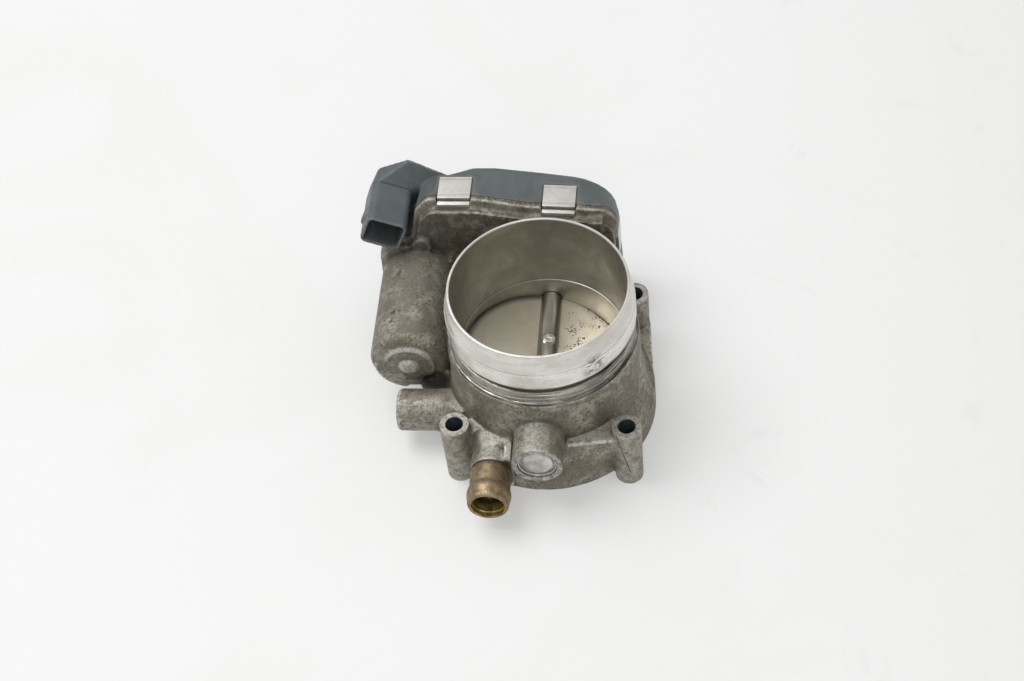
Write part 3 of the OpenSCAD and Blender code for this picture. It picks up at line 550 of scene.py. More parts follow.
def cast_aluminium():
    """Die-cast metal, sand brown with old grime that is also painted shade in the hollows, with painted light
    where it faces up, and paler edges that are partly rubbed and partly painted highlight.
    """
    look = Look("cast_aluminium")
    patches = look.noise(0.05, 4, 0.62, warp=0.7)
    clouds = look.noise(0.30, 6, 0.68, shift=40, warp=0.3)
    mottle = look.noise(0.85, 5, 0.72, shift=15)
    grain = look.noise(2.4, 3, 0.65, shift=9)
    pores = look.step(look.noise(1.15, 3, 0.6, shift=77), 0.56, 0.66)
    colour = look.mix(look.step(mottle, 0.37, 0.63), SAND_DARK, SAND_LIGHT)
    colour = look.mix(look.step(clouds, 0.44, 0.64, 0, 0.75), colour, CREAM)
    colour = look.mix(look.step(patches, 0.40, 0.60, 0, 0.72), colour, BROWN)
    soot = look.step(look.noise(0.09, 5, 0.6, shift=52, warp=0.6), 0.36, 0.62, 0.15, 0.85)
    soot = look.product(look.step(look.x, -40, -46), soot, look.step(look.z, 24, 30))
    colour = look.mix(soot, colour, SOOT_GREY)
    colour = look.mix(look.step(grain, 0.54, 0.74, 0.0, 0.35), colour, SPARKLE)
    thick = look.step(clouds, 0.56, 0.42, 0.25, 0.92)
    colour = look.mix(look.product(pores, thick), colour, PORE)
    # Darker in hollows: partly real grime, partly painted shade where light does not reach.
    dirt = look.step(look.math("ADD", look.bend("deep"), look.swing(mottle, 0.9)), 0.12, 0.75, 0, 0.80)
    colour = look.mix(dirt, colour, GRIME_AND_SHADE)
    # Painted light: faces that point up are made paler, as if lit from above.
    level = look.product(look.step(look.upward(), 0.80, 0.95), look.step(mottle, 0.34, 0.58, 0.15, 0.60))
    level = look.product(level, look.step(look.x, -42, -36), look.step(look.y, 38, 30))
    colour = look.mix(level, colour, SKY_LIT)
    # Paler proud edges: partly worn bare metal, partly painted highlight along the ridges.
    proud_edges = look.math("ADD", look.bend("proud"), look.swing(mottle, 0.20))
    rubbed = look.product(look.step(proud_edges, 0.05, 0.13), look.step(clouds, 0.40, 0.58, 0.25, 0.80))
    rubbed = look.product(rubbed, look.step(look.y, 46, 40, 0.45, 1.0))
    colour = look.mix(rubbed, colour, BARE_AND_HIGHLIGHT)
    colour = look.mix(look.product(look.near(NOSE_SHADOW, 4.6, 3.6), 0.88), colour, DEEP_SHADOW)
    colour = pot_marks(look, colour, mottle)
    colour = front_marks(look, colour, clouds)
    colour = case_marks(look, colour, clouds, mottle)
    rough = look.step(mottle, 0.3, 0.7, 0.66, 0.46)
    normal = look.bump(mottle, 0.22, look.bump(grain, 0.10))
    return look.finish(colour, rough, 0.5, normal)


def faced_metal():
    """Cast metal that has been faced flat, then scuffed and stained."""
    look = Look("faced_metal")
    cloud = look.noise(0.5, 6, 0.68)
    grain = look.noise(2.6, 3, 0.6)
    colour = look.mix(look.step(cloud, 0.34, 0.66), (0.19, 0.178, 0.150), (0.47, 0.46, 0.425))
    colour = look.mix(look.step(grain, 0.56, 0.76, 0, 0.5), colour, (0.66, 0.655, 0.62))
    return look.finish(colour, look.step(cloud, 0.3, 0.7, 0.55, 0.38), 0.7, look.bump(grain, 0.05))


def painted_hole_shade():
    """The inside of the bolt holes, painted dark as the shade that fills them."""
    look = Look("painted_hole_shade")
    cloud = look.noise(0.4, 4, 0.6)
    colour = look.mix(look.step(cloud, 0.3, 0.7), (0.030, 0.042, 0.050), (0.085, 0.110, 0.120))
    return look.finish(colour, 0.42, 0.3, look.bump(cloud, 0.05))


def machined_aluminium():
    """Turned metal with tool lines round the bore's axis, scuffed and stained."""
    look = Look("machined_aluminium")
    _, height, radius = look.around()
    lines = look.noise(1.0, 3, 0.6, place=look.unrolled(0.012, 5.0))
    smear = look.noise(1.0, 5, 0.62, place=look.unrolled(0.055, 0.22), warp=0.5)
    scratch = look.step(look.noise(1.0, 4, 0.7, place=look.unrolled(0.16, 2.2), shift=8), 0.60, 0.67)
    specks = look.step(look.noise(0.8, 4, 0.65, shift=21), 0.62, 0.69)
    colour = look.mix(look.step(smear, 0.34, 0.66), (0.66, 0.635, 0.585), (0.86, 0.84, 0.79))
    colour = look.mix(look.step(lines, 0.35, 0.65, 0, 0.22), colour, (0.50, 0.49, 0.46))
    colour = look.mix(look.product(scratch, 0.30), colour, (0.30, 0.285, 0.25))
    colour = look.mix(look.product(specks, 0.45), colour, (0.21, 0.19, 0.155))
    taper = look.step(height, BEAD_HIGH - 0.4, BEAD_HIGH + 0.8)
    colour = look.mix(look.product(taper, 0.30), colour, (0.56, 0.55, 0.52))
    ring = look.step(look.noise(1.0, 5, 0.7, place=look.unrolled(0.09, 1.4), shift=3), 0.36, 0.60)
    low = look.step(height, GROOVE_LOW + 0.3, GROOVE_LOW - 0.5)
    fine = look.step(look.noise(1.0, 4, 0.7, place=look.unrolled(0.05, 3.2), shift=5), 0.40, 0.60, 0.45, 1.0)
    colour = look.mix(look.product(low, fine, 0.72), colour, (0.20, 0.185, 0.150))
    colour = look.mix(look.product(low, ring, 0.55), colour, (0.10, 0.088, 0.066))
    groove = look.product(look.step(radius, 38.25, 37.9), look.step(height, BEAD_LOW, BEAD_LOW - 0.4), 0.82)
    colour = look.mix(groove, colour, (0.060, 0.052, 0.040))
    low_edge = look.product(look.step(height, LAND_LOW + 0.4, LAND_LOW - 0.1), 0.75, ring)
    colour = look.mix(low_edge, colour, (0.055, 0.048, 0.036))
    blotches = look.step(look.noise(1.0, 4, 0.7, place=look.unrolled(0.3, 0.7)), 0.44, 0.56)
    stain = look.product(look.near(BEAD_STAIN, 2.2, 5.5), blotches, 0.85)
    colour = look.mix(stain, colour, (0.075, 0.062, 0.045))
    right = look.product(look.near(NECK_STAIN, 5.0, 9.0), look.step(height, 62.5, 60.5), ring, 0.9)
    colour = look.mix(right, colour, OIL_AND_SHADE_BLACK)
    rough = look.step(look.noise(0.35, 5, 0.6), 0.3, 0.7, 0.25, 0.40)
    return look.finish(colour, rough, 0.90, look.bump(smear, 0.05, look.bump(lines, 0.025)))


def bore_wall():
    """The inside of the bore, with a thin brown film of oil and dust."""
    look = Look("bore_wall")
    height = look.z
    lines = look.noise(1.0, 2, 0.5, place=look.unrolled(0.015, 6.0))
    film = look.noise(0.06, 5, 0.6, warp=1.2)
    spots = look.step(look.noise(0.55, 4, 0.6, shift=13), 0.67, 0.72)
    specks = look.step(look.noise(1.6, 2, 0.5, shift=3), 0.70, 0.74)
    colour = look.mix(look.step(film, 0.34, 0.68), (0.325, 0.302, 0.250), (0.425, 0.405, 0.350))
    colour = look.mix(look.product(look.step(film, 0.50, 0.42), 0.20), colour, (0.36, 0.365, 0.35))
    colour = look.mix(look.product(spots, 0.55), colour, (0.09, 0.078, 0.058))
    colour = look.mix(look.product(specks, 0.60), colour, (0.06, 0.05, 0.04))
    below = look.step(height, STEP_Z - 0.1, STEP_Z - 0.5)
    colour = look.mix(look.product(below, 0.15), colour, (0.60, 0.585, 0.54))
    corner = look.band(height, STEP_Z - 0.3, STEP_Z - 0.1, STEP_Z + 0.3, STEP_Z + 0.6)
    colour = look.mix(look.product(corner, 0.60), colour, (0.16, 0.145, 0.115))
    lip = look.step(height, BODY_TOP - 0.8, BODY_TOP - 0.4)
    colour = look.mix(lip, colour, (0.86, 0.86, 0.85))
    rough = look.step(film, 0.3, 0.7, 0.44, 0.33)
    return look.finish(colour, rough, 0.86, look.bump(lines, 0.02))


def plate_bronze():
    """The plate, a pale gold film on metal, with painted light on its right half, painted shade on its left
    half and along its left edge, and baked-on specks on its right half.
    """
    look = Look("plate_film")
    film = look.noise(0.05, 5, 0.6, warp=0.7)
    grain = look.noise(1.6, 3, 0.6)
    x = look.x
    colour = look.mix(look.step(film, 0.3, 0.7), (0.52, 0.48, 0.385), (0.66, 0.62, 0.52))
    # Painted light: the right half is made much paler, as the lit patch where light reaches past the bore's
    # left rim.
    colour = look.mix(look.step(x, 3, 16, 0, 0.92), colour, (1.0, 0.935, 0.79))
    rust = look.product(look.step(look.noise(0.22, 5, 0.65, shift=31), 0.50, 0.66), look.step(x, 8, 20))
    colour = look.mix(look.product(rust, 0.35), colour, (0.36, 0.22, 0.12))
    crowd = look.step(x, -10, 14, 0.0, 1.0)
    clump = look.step(look.noise(0.16, 3, 0.6, shift=5), 0.38, 0.62)
    size = look.product(look.math("ADD", look.product(crowd, 0.34), 0.07), clump)
    specks = look.step(look.math("SUBTRACT", size, look.cells(0.95)), -0.02, 0.04)
    colour = look.mix(look.product(specks, 0.88), colour, (0.080, 0.050, 0.030))
    # Painted shade: the left half is made darker, as the shadow of the bore's left wall.
    colour = look.mix(look.product(look.step(x, 2, -2), 0.30), colour, (0.47, 0.42, 0.32))
    # Painted shade: a dark band along the left edge, as the shade in the gap between the plate and the bore.
    far = look.vector("LENGTH", look.vector("MULTIPLY", look.place, (1, 1, 0)), None)
    left = look.product(look.step(far, 30.5, 33.8), look.step(x, 6, -8, 0.25, 1.0))
    colour = look.mix(look.product(left, 0.85), colour, OIL_AND_SHADE_BLACK)
    rough = look.step(film, 0.3, 0.7, 0.44, 0.34)
    normal = look.bump(specks, 0.10, look.bump(grain, 0.015))
    return look.finish(colour, rough, 0.62, normal)


def ground_steel():
    """The shafts, with fine lines along them and painted shade on their sides."""
    look = Look("ground_steel")
    lines = look.noise(1.0, 2, 0.5, stretch=(0.05, 6.0, 0.05))
    haze = look.noise(0.06, 3, 0.5)
    colour = look.mix(look.step(haze, 0.3, 0.7), (0.47, 0.455, 0.415), (0.56, 0.545, 0.51))
    colour = look.mix(look.step(lines, 0.4, 0.7, 0, 0.2), colour, (0.72, 0.71, 0.68))
    # Painted shade: the sides that turn away from up are made darker.
    colour = look.mix(look.step(look.upward(), 0.90, 0.45, 0, 0.70), colour, (0.16, 0.15, 0.13))
    return look.finish(colour, look.step(haze, 0.3, 0.7, 0.18, 0.25), 1.0, look.bump(lines, 0.004))


def bright_zinc():
    """Plated screws, thin gold in places."""
    look = Look("bright_zinc")
    haze = look.noise(0.9, 4, 0.6)
    colour = look.mix(look.step(haze, 0.35, 0.65), (0.70, 0.69, 0.60), (0.88, 0.88, 0.84))
    return look.finish(colour, look.step(haze, 0.3, 0.7, 0.18, 0.32), 1.0, look.bump(haze, 0.03))


def clip_nickel():
    """The spring clips, with painted shade in the gap above the lower lip and a painted shade line along a
    crease at each end of the plate.
    """
    look = Look("clip_nickel")
    smear = look.noise(0.12, 5, 0.62, warp=1.0)
    grain = look.noise(1.8, 3, 0.6)
    colour = look.mix(look.step(smear, 0.3, 0.7), (0.52, 0.505, 0.465), (0.66, 0.65, 0.615))
    colour = look.mix(look.step(grain, 0.60, 0.75, 0, 0.35), colour, (0.34, 0.32, 0.28))
    # Painted shade: a near black line in the gap above the lower lip.
    gap = look.band(look.y, CLIP_STEP_Y - 0.9, CLIP_STEP_Y - 0.6, CLIP_STEP_Y - 0.05, CLIP_STEP_Y + 0.05)
    colour = look.mix(look.product(gap, 0.90), colour, PIT_SHADE_BLACK)
    # Painted shade: a darker line along each crease of the plate.
    for line in (CLIP_STEP_Y + 1.7, CLIP_BACK_Y - 1.5):
        crease = look.band(look.y, line - 0.35, line, line, line + 0.35)
        colour = look.mix(look.product(crease, 0.55), colour, (0.20, 0.19, 0.165))
    rough = look.step(smear, 0.3, 0.7, 0.46, 0.36)
    return look.finish(colour, rough, 0.88, look.bump(smear, 0.10))


def old_brass():
    """The nipple: brown tarnish outside, yellow metal inside its mouth, with painted shade deeper in."""
    look = Look("old_brass")
    _, along, radius = look.around(NIPPLE_X, NIPPLE_Z)
    bands = look.noise(1.0, 4, 0.65, place=look.unrolled(0.10, 0.55, NIPPLE_X, NIPPLE_Z))
    cloud = look.noise(0.34, 6, 0.68, warp=0.6)
    grain = look.noise(2.0, 3, 0.65)
    tarnish = look.mix(look.step(cloud, 0.34, 0.66), (0.155, 0.115, 0.068), (0.345, 0.27, 0.168))
    tarnish = look.mix(look.step(bands, 0.45, 0.65, 0, 0.5), tarnish, (0.30, 0.205, 0.105))
    tarnish = look.mix(look.step(grain, 0.56, 0.74, 0, 0.45), tarnish, (0.47, 0.405, 0.295))
    dark = look.step(look.noise(0.5, 5, 0.7, shift=12), 0.56, 0.68, 0, 0.6)
    tarnish = look.mix(dark, tarnish, (0.075, 0.060, 0.038))
    collar = look.step(along, -50.2, -48.6, 0, 0.55)
    tarnish = look.mix(collar, tarnish, (0.060, 0.046, 0.030))
    metal = look.mix(look.step(cloud, 0.36, 0.64), (0.17, 0.120, 0.040), (0.56, 0.43, 0.15))
    # Painted shade: the mouth turns darker deeper in.
    deep = look.step(along, -61.5, -57.5, 0, 0.85)
    metal = look.mix(deep, metal, (0.040, 0.028, 0.012))
    inside = look.step(radius, 7.35, 7.1)
    colour = look.mix(inside, tarnish, metal)
    rough = look.step(cloud, 0.3, 0.7, 0.58, 0.40)
    return look.finish(colour, rough, 0.75, look.bump(grain, 0.05, look.bump(cloud, 0.15)))


def slate_plastic():
    """Dark blue grey plastic, dusty, pale where it has rubbed, paler on the left partly as painted light,
    darker in hollows partly as painted shade, with painted shade along the crease and where the clips press,
    and caked with dirt round the clips.
    """
    look = Look("slate_plastic")
    dust = look.noise(0.07, 5, 0.62, warp=0.9)
    smudge = look.noise(0.4, 5, 0.65, shift=6)
    grain = look.noise(3.0, 2, 0.5)
    colour = look.mix(look.step(dust, 0.32, 0.70), (0.066, 0.080, 0.084), (0.088, 0.104, 0.106))
    colour = look.mix(look.step(smudge, 0.48, 0.72, 0, 0.30), colour, (0.105, 0.118, 0.118))
    colour = look.mix(look.step(grain, 0.45, 0.8, 0, 0.12), colour, (0.17, 0.18, 0.175))
    ragged = look.swing(smudge, 0.16)
    scuff = look.step(look.math("ADD", look.bend("proud"), ragged), 0.06, 0.15, 0, 0.42)
    colour = look.mix(scuff, colour, (0.235, 0.255, 0.255))
    # Paler left side: partly wear, partly painted light on the side facing the key lamp.
    left = look.product(look.step(look.x, -74, -79), look.step(smudge, 0.40, 0.60))
    colour = look.mix(look.product(left, 0.5), colour, (0.22, 0.235, 0.23))
    # Darker in hollows: partly real grime, partly painted shade.
    grime = look.step(look.math("ADD", look.bend("deep"), ragged), 0.15, 0.60, 0, 0.75)
    colour = look.mix(grime, colour, (0.040, 0.038, 0.032))
    rim = look.product(look.step(look.y, 56.0, 54.6), look.step(smudge, 0.38, 0.56))
    rim = look.product(rim, look.step(look.x, -61, -58))
    colour = look.mix(look.product(rim, 0.75), colour, (0.085, 0.070, 0.050))
    # Painted shade: a near black line along the crease, as the shade under its step.
    crease = look.band(look.y, CREASE_Y - 0.45, CREASE_Y - 0.1, CREASE_Y + 0.1, CREASE_Y + 0.45)
    crease = look.product(crease, look.step(look.x, -60, -61.5, 0, 0.85))
    colour = look.mix(crease, colour, (0.022, 0.024, 0.025))
    caked = look.product(look.step(look.bend("close"), 0.25, 0.85), look.step(smudge, 0.42, 0.54))
    colour = look.mix(look.product(caked, 0.80), colour, (0.115, 0.098, 0.070))
    # Painted shade: near black right where the clips press on the cover.
    colour = look.mix(look.step(look.bend("close"), 0.84, 0.93, 0, 0.75), colour, (0.028, 0.025, 0.021))
    rough = look.step(dust, 0.3, 0.7, 0.48, 0.62)
    return look.finish(colour, rough, 0.0, look.bump(grain, 0.02, look.bump(dust, 0.10)))


def plain(name, dark, light, rough, metal=0.0, per_mm=0.6, depth=0.03):
    """A simple worked surface for the pieces inside: two tones of one colour, and a fine grain."""
    look = Look(name)
    cloud = look.noise(per_mm, 4, 0.6)
    colour = look.mix(look.step(cloud, 0.32, 0.68), dark, light)
    uneven = look.step(cloud, 0.3, 0.7, rough + 0.08, rough - 0.08)
    return look.finish(colour, uneven, metal, look.bump(cloud, depth))


def floor_paint():
    """White paint with painted shade greyer to the right, glowing a little so that shadows on it stay pale.
    """
    look = Look("floor_paint")
    smudge = look.noise(0.006, 5, 0.6, warp=1.0)
    colour = look.mix(look.step(smudge, 0.45, 0.70), (0.45, 0.453, 0.453), (0.435, 0.435, 0.425))
    # Painted shade: greyer towards the right, away from the key lamp.
    colour = look.mix(look.step(look.x, 20, 380), colour, (0.405, 0.405, 0.390))
    # Stains right of the object: partly smudges, partly painted shade.
    stains_and_shade = look.step(look.noise(0.03, 6, 0.7, shift=4, warp=0.8), 0.58, 0.74, 0, 0.55)
    colour = look.mix(look.product(stains_and_shade, look.step(look.x, 20, 110)), colour, (0.36, 0.355, 0.335))
    look.feed(look.shader.inputs["Emission Color"], (1, 1, 0.995, 1))
    look.feed(look.shader.inputs["Emission Strength"], FLOOR_GLOW)
    return look.finish(colour, 0.6, 0.0, None, 0.3)


# ---- the housing ------------------------------------------------------------

def casting_stock():
    """The CAD housing, with its bores filled, its snout off and stock left on its machined faces."""
    stock = cad_copy("housing")
    cut(stock, rod("snout", SNOUT_Z, BODY_TOP + 5, FLANGE_R - 2, "z", ORIGIN))
    extra = MACHINING_STOCK
    add(stock,
        rod("bore", -extra, SNOUT_Z + extra, BORE_R + 0.5, "z", ORIGIN, segments=128),
        rod("throat", STEP_Z, SNOUT_Z + extra, THROAT_R, "z", ORIGIN, segments=128),
        rod("foot", -extra, 2, FLANGE_R - 0.1, "z", ORIGIN, segments=128),
        rod("boss", BOSS_FRONT - extra, BOSS_FRONT + PLUG_DEPTH + 1, BOSS_R, "y", (0, 0, SHAFT_Z)),
        rod("stub", STUB_END_X + 0.3, -44, STUB_BORE_R + 1, "x", (0, STUB_Y, STUB_Z)),
        block("wall", *NOSE_WALL))
    for x, y in BOLT_PLACES:
        add(stock, rod("column", -extra, COLUMN_TOP + extra, COLUMN_R, "z", (x, y, 0)))
    return mould_marks(stock)


def ball(name, place, radius):
    angles = [math.pi * i / BALL_STEPS for i in range(1, BALL_STEPS)]
    profile = [(radius * math.sin(a), -radius * math.cos(a)) for a in angles]
    return lathe(name, [(0, -radius), *profile, (0, radius)], place, "z", 24)


def mould_marks(stock):
    """Adds the small marks: dimples on the pot, a step on its end, a pit beside its nose, a cut rib foot."""
    for place, radius in DIMPLES:
        cut(stock, ball("dimple", place, radius))
    ledge = rod("ledge", POT_FRONT - 1.0, POT_FRONT + 2, 14.9, "y", (POT_X, 0, POT_Z))
    cut(ledge,
        block("above", (-90, -10, POT_Z + 0.6), (-30, 10, 60)),
        block("beside", (POT_X - 1.9, -10, 0), (-30, 10, 60)))
    add(stock, ledge)
    cut(stock, ball("scoop", *SCOOP), block("rib_foot", *RIB_FOOT))
    return stock


def snout():
    """The turned end that the intake hose fits over."""
    bead_r = mounts["intake_hose_bead"]["dims"]["r_mm"]
    top = BODY_TOP
    land_r = 38.45
    outside = [
        (0, SNOUT_Z - 2), (39.4, SNOUT_Z - 2), (39.6, 50.3), (39.1, 51.0), (land_r, LAND_LOW), (land_r, 52.9),
        (38.1, 53.1), (38.1, 53.5), (land_r, 53.7), (land_r, 55.3), (38.2, 55.45), (38.2, 55.75),
        (land_r, 55.9), (38.4, 57.0), (37, GROOVE_LOW), (37, 59.8), (38.8, 60.2),
        (bead_r, BEAD_LOW), (bead_r, BEAD_HIGH),
        (38.75, BEAD_HIGH + 0.3), (38.3, 72.5), (37.3, top - 2), (37.15, top - 0.3), (36.95, top), (0, top),
    ]
    return lathe("snout", rounded(outside, 0.2), segments=256)


def bore_tool():
    top = BODY_TOP
    outline = [
        (0, -3), (BORE_R + 2, -3), (BORE_R + 0.6, -0.1), (BORE_R, 0.5), (BORE_R, STEP_Z),
        (BORE_R + STEP, STEP_Z + 0.15), (INLET_R, top - 0.2), (INLET_R + 0.3, top + 0.1),
        (INLET_R + 0.3, top + 3), (0, top + 3),
    ]
    return lathe("bore_tool", rounded(outline, 0.15, 2), segments=256)


def with_material(obj, material):
    obj.data.materials.clear()
    obj.data.materials.append(material)
    return obj


def make_housing(cast, faced, machined, film, hole):
    body = casting_stock()
    remesh(body, CAST_VOXEL)
    soften(body, rounds=5, hollow=0.65, edge=0.10)
    bends = Bends(body)
    thin_out(body, FACE_BUDGET)
    with_material(body, cast)
    add(body, with_material(snout(), machined))
    plug_end = BOSS_FRONT - 1
    axis = (0, 0, SHAFT_Z)
    cut(body,
        with_material(block("floor_face", (-90, -70, -10), (70, 90, 0)), faced),
        with_material(block("boss_face", (-14, BOSS_FRONT - 5, 15), (14, BOSS_FRONT, 45)), faced),
        with_material(bore_tool(), film),
        with_material(rod("neck", -39, 39, NECK_R, "y", axis), film),
        with_material(rod("plug_seat", plug_end, BOSS_FRONT + PLUG_DEPTH, PLUG_R, "y", axis), faced),
        with_material(rod("stub_bore", -38, -66, STUB_BORE_R, "x", (0, STUB_Y, STUB_Z)), faced))
    for x, y in BOLT_PLACES:
        cut(body,
            with_material(rod("spot", COLUMN_TOP, COLUMN_TOP + 10, SPOT_FACE_R, "z", (x, y, 0)), faced),
            with_material(rod("hole", -2, COLUMN_TOP + 1, HOLE_R, "z", (x, y, 0), chamfer=0.25), hole))
    body.name = "housing_casting"
    bends.carry_to(body)
    shade(body)
    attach(body, HOUSING_BODY)
    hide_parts("housing")
    return body


# ---- the cover --------------------------------------------------------------

def melt_seats(cover):
    """Smooths the plastic round each clip into the cover's wall.

    Returns how close each point lies to a clip, from 0 at SEAT_REACH to 1 on the clip.
    """
    clips = cad_copy("cover_clips")
    mesh = clips.data
    corners = [v.co.copy() for v in mesh.vertices]
    tree = BVHTree.FromPolygons(corners, [tuple(p.vertices) for p in mesh.polygons])
    bpy.data.objects.remove(clips)
    bpy.data.meshes.remove(mesh)
    reach = SEAT_REACH * MM
    gaps = [tree.find_nearest(v.co, reach)[3] for v in cover.data.vertices]
    close = 1 - np.array([reach if gap is None else gap for gap in gaps]) / reach
    surface = Surface(cover.data)
    share = np.clip(close * 4, 0, 1)[:, None]
    for _ in range(SEAT_ROUNDS):
        co = surface.points()
        surface.place(co + (surface.mean(co) - co) * share)
    return close


def make_cover(plastic):
    cover = cad_copy("gear_cover")
    remesh(cover, COVER_VOXEL)
    soften(cover, rounds=4, hollow=0.5, edge=0.2)
    close = melt_seats(cover)
    bends = Bends(cover)
    bends.values["close"] = close
    thin_out(cover, FACE_BUDGET)
    with_material(cover, plastic)
    cover.name = "moulded_cover"
    bends.carry_to(cover)
    shade(cover, 40)
    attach(cover, HOUSING_BODY)
    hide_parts("gear_cover")
    return cover


# ---- the turned and pressed pieces ------------------------------------------

def dress(obj, node, body=HOUSING_BODY):
    """Puts a piece in the place of a CAD node."""
    shade(obj, 35)
    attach(obj, body)
    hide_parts(node)
    return obj


def make_nipple(brass):
    """The nipple, with its bead rolled round and its mouth bored out."""
    low, high = (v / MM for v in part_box("hose_nipple"))
    end = low.y
    outside = [
        (7.0, end + 0.2), (7.4, end), (8.1, end), (8.6, end + 0.9), (8.75, end + 2.6), (9.22, end + 4.4),
        (9.22, end + 6.4), (8.5, end + 8.4), (8.5, NIPPLE_ROOT_Y), (6.8, NIPPLE_ROOT_Y), (6.8, high.y),
        (5, high.y), (5, end + 10.2), (6.6, end + 8.2), (6.6, end + 2.4), (7.0, end + 2.0),
    ]
    nipple = lathe("nipple", rounded(outside, 1.0, 5), (NIPPLE_X, 0, NIPPLE_Z), "y", 96)
    with_material(nipple, brass)
    return dress(nipple, "hose_nipple")


def make_plug(steel):
    """The pressed plug: a shallow dome inside a rolled rim."""
    front = BOSS_FRONT + 0.55
    profile = [
        (0, front), (3.0, front + 0.03), (5.2, front + 0.2), (6.5, front + 0.6), (6.8, front + 1.5),
        (7.15, front + 1.5), (7.4, front + 0.35), (7.8, front + 0.1), (8.08, front + 0.5),
        (8.08, front + 4.4), (7, front + 4.4), (7, front + 2), (0, front + 2),
    ]
    plug = lathe("pressed_plug", rounded(profile, 0.35, 4), (0, 0, SHAFT_Z), "y", 96)
    with_material(plug, steel)
    return dress(plug, "bearing_plug")


def make_clips(nickel):
    clips = cad_copy("cover_clips")
    bevel(clips, 0.22, 3)
    with_material(clips, nickel)
    clips.name = "sheet_clips"
    return dress(clips, "cover_clips")


def make_screws(zinc):
    screws = cad_copy("plate_screws")
    bevel(screws, 0.14, 2)
    with_material(screws, zinc)
    screws.name = "drive_screws"
    return dress(screws, "plate_screws", "throttle")


# ---- the small pieces -------------------------------------------------------

def paint(materials):
    for node, material in materials.items():
        mesh = frame["nodes"][node].data
        mesh.materials.clear()
        mesh.materials.append(material)


def paint_inner():
    steel = ground_steel()
    zinc = bright_zinc()
    dark_steel = plain("pressed_steel", (0.36, 0.36, 0.36), (0.52, 0.52, 0.51), 0.38, 1.0)
    bearing = plain("bearing_steel", (0.62, 0.62, 0.62), (0.80, 0.80, 0.79), 0.20, 1.0)
    rubber = plain("seal_rubber", (0.018, 0.018, 0.018), (0.040, 0.039, 0.037), 0.62)
    nylon = plain("gear_nylon", (0.62, 0.59, 0.50), (0.76, 0.73, 0.64), 0.45)
    sleeve = plain("sleeve_plastic", (0.020, 0.021, 0.023), (0.042, 0.043, 0.045), 0.5)
    ferrite = plain("ferrite", (0.045, 0.045, 0.048), (0.090, 0.090, 0.092), 0.6, 0.2)
    bronze = plain("bush_bronze", (0.40, 0.27, 0.12), (0.60, 0.43, 0.20), 0.42, 0.95)
    brass = plain("pinion_brass", (0.62, 0.45, 0.18), (0.80, 0.62, 0.28), 0.30, 1.0)
    copper = plain("copper", (0.50, 0.20, 0.09), (0.74, 0.36, 0.18), 0.32, 1.0)
    carbon = plain("brush_carbon", (0.03, 0.03, 0.032), (0.07, 0.068, 0.066), 0.55, 0.2)
    laminate = plain("card_laminate", (0.07, 0.045, 0.03), (0.12, 0.08, 0.05), 0.5)
    board = plain("board_green", (0.012, 0.06, 0.03), (0.03, 0.12, 0.06), 0.35)
    spring = plain("spring_wire", (0.16, 0.155, 0.15), (0.34, 0.33, 0.32), 0.30, 1.0)
    tin = plain("pin_tin", (0.42, 0.41, 0.38), (0.66, 0.65, 0.61), 0.34, 1.0)
    groups = {
        steel: ["throttle_shaft", "motor_shaft", "idler_pin"],
        zinc: ["stop_screw", "motor_screws"],
        bearing: ["rear_bearing_outer", "rear_bearing_inner", "rear_bearing_balls", "front_bearing_cup",
                  "front_bearing_needles"],
        rubber: ["front_shaft_seal", "rear_shaft_seal", "cover_seal"],
        nylon: ["sector_gear", "idler_gear"],
        sleeve: ["spring_sleeve", "hall_sensor"],
        ferrite: ["position_magnet", "motor_magnets"],
        bronze: ["motor_rear_bush", "motor_front_bush"],
        brass: ["motor_pinion", "motor_contacts", "motor_terminals"],
        copper: ["armature_windings", "commutator"],
        carbon: ["brushes"],
        laminate: ["brush_card"],
        board: ["sensor_board"],
        spring: ["return_spring"],
        tin: ["connector_pins"],
        dark_steel: ["motor_can", "motor_end_plate", "motor_wave_washer", "armature_core"],
    }
    paint({node: material for material, nodes in groups.items() for node in nodes})
    paint({"throttle_plate": plate_bronze()})
    make_screws(zinc)


# ---- the stage --------------------------------------------------------------

FLOOR_GLOW = 0.33
FLOOR_HALF = 3000
WORLD_LOW, WORLD_HIGH = 0.20, 0.80
WORLD_COLOUR = (1.0, 1.0, 0.99, 1)
LIGHT_TARGET = (0, 0, 0.03)
KEY = {"place": (-0.85, 0.25, 1.85), "size": 1.4, "power": 26.0}
FRONT_FILL = {"place": (0.3, -1.5, 1.3), "size": 0.9, "power": 5.0}
LENS = 76.35
CAMERA_PLACE = (0.0898, -0.5634, 0.7386)
CAMERA_RIGHT = (0.99338, 0.07880, -0.08348)
CAMERA_UP = (-0.00863, 0.77639, 0.63019)
CAMERA_BACK = (0.11447, -0.62531, 0.77194)


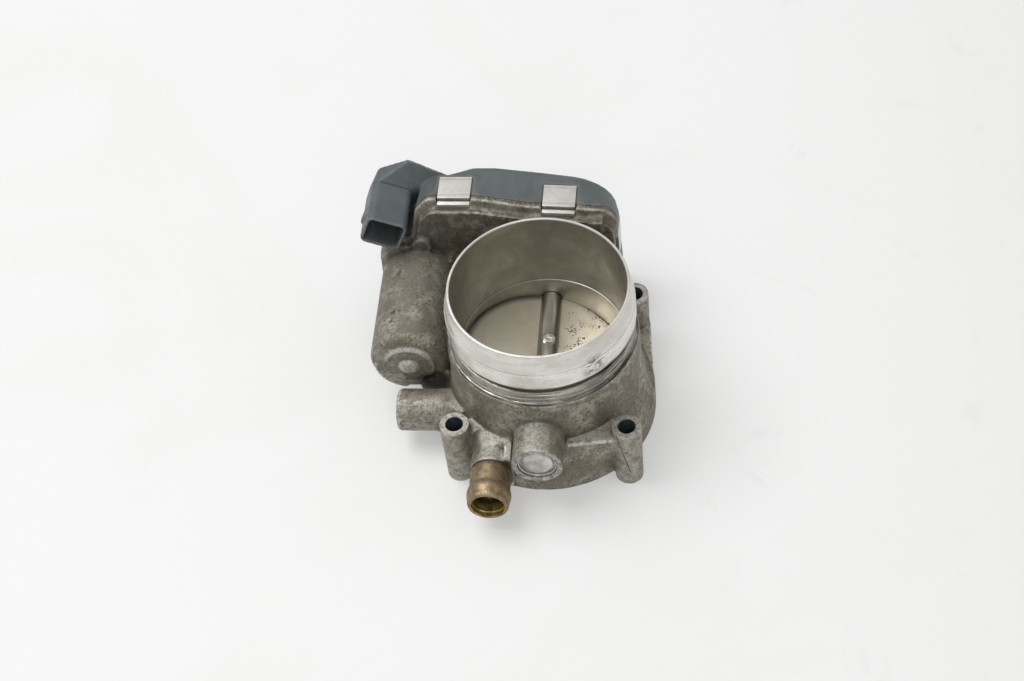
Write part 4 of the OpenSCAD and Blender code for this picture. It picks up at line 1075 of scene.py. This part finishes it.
def make_floor():
    bpy.ops.mesh.primitive_plane_add(size=2 * FLOOR_HALF * MM, location=(0, 0, cad_box[0][2]))
    floor = bpy.context.object
    floor.name = "floor"
    with_material(floor, floor_paint())


def make_light(name, place, size, power):
    light = bpy.data.lights.new(name, "AREA")
    light.shape = "DISK"
    light.size = size
    light.energy = power
    obj = new_object(name, light)
    obj.location = place
    obj.rotation_euler = (Vector(LIGHT_TARGET) - Vector(place)).to_track_quat("-Z", "Y").to_euler()


def make_world():
    """A dim studio, brightest overhead."""
    world = bpy.data.worlds.new("studio")
    world.use_nodes = True
    tree = world.node_tree
    background = tree.nodes["Background"]
    direction = tree.nodes.new("ShaderNodeTexCoord").outputs["Generated"]
    split = tree.nodes.new("ShaderNodeSeparateXYZ")
    tree.links.new(direction, split.inputs[0])
    ramp = tree.nodes.new("ShaderNodeMapRange")
    ramp.interpolation_type = "SMOOTHSTEP"
    low_sky, high_sky = -0.1, 0.9
    for socket, value in zip(list(ramp.inputs)[1:], (low_sky, high_sky, WORLD_LOW, WORLD_HIGH)):
        socket.default_value = value
    tree.links.new(split.outputs["Z"], ramp.inputs[0])
    tree.links.new(ramp.outputs[0], background.inputs["Strength"])
    background.inputs["Color"].default_value = WORLD_COLOUR
    bpy.context.scene.world = world


def make_camera():
    camera = bpy.data.cameras.new("camera")
    camera.sensor_width = 36
    camera.lens = LENS
    camera.clip_end = 20
    obj = new_object("camera", camera)
    turn = Matrix((CAMERA_RIGHT, CAMERA_UP, CAMERA_BACK)).transposed()
    obj.matrix_world = Matrix.Translation(CAMERA_PLACE) @ turn.to_4x4()
    bpy.context.scene.camera = obj


make_camera()
make_world()
make_light("key", **KEY)
make_light("front_fill", **FRONT_FILL)
make_floor()
make_housing(cast_aluminium(), faced_metal(), machined_aluminium(), bore_wall(), painted_hole_shade())
make_cover(slate_plastic())
make_nipple(old_brass())
make_plug(plain("plug_steel", (0.40, 0.39, 0.36), (0.60, 0.59, 0.56), 0.40, 0.85, 0.25))
make_clips(clip_nickel())
paint_inner()
bpy.context.scene.view_settings.view_transform = "Standard"
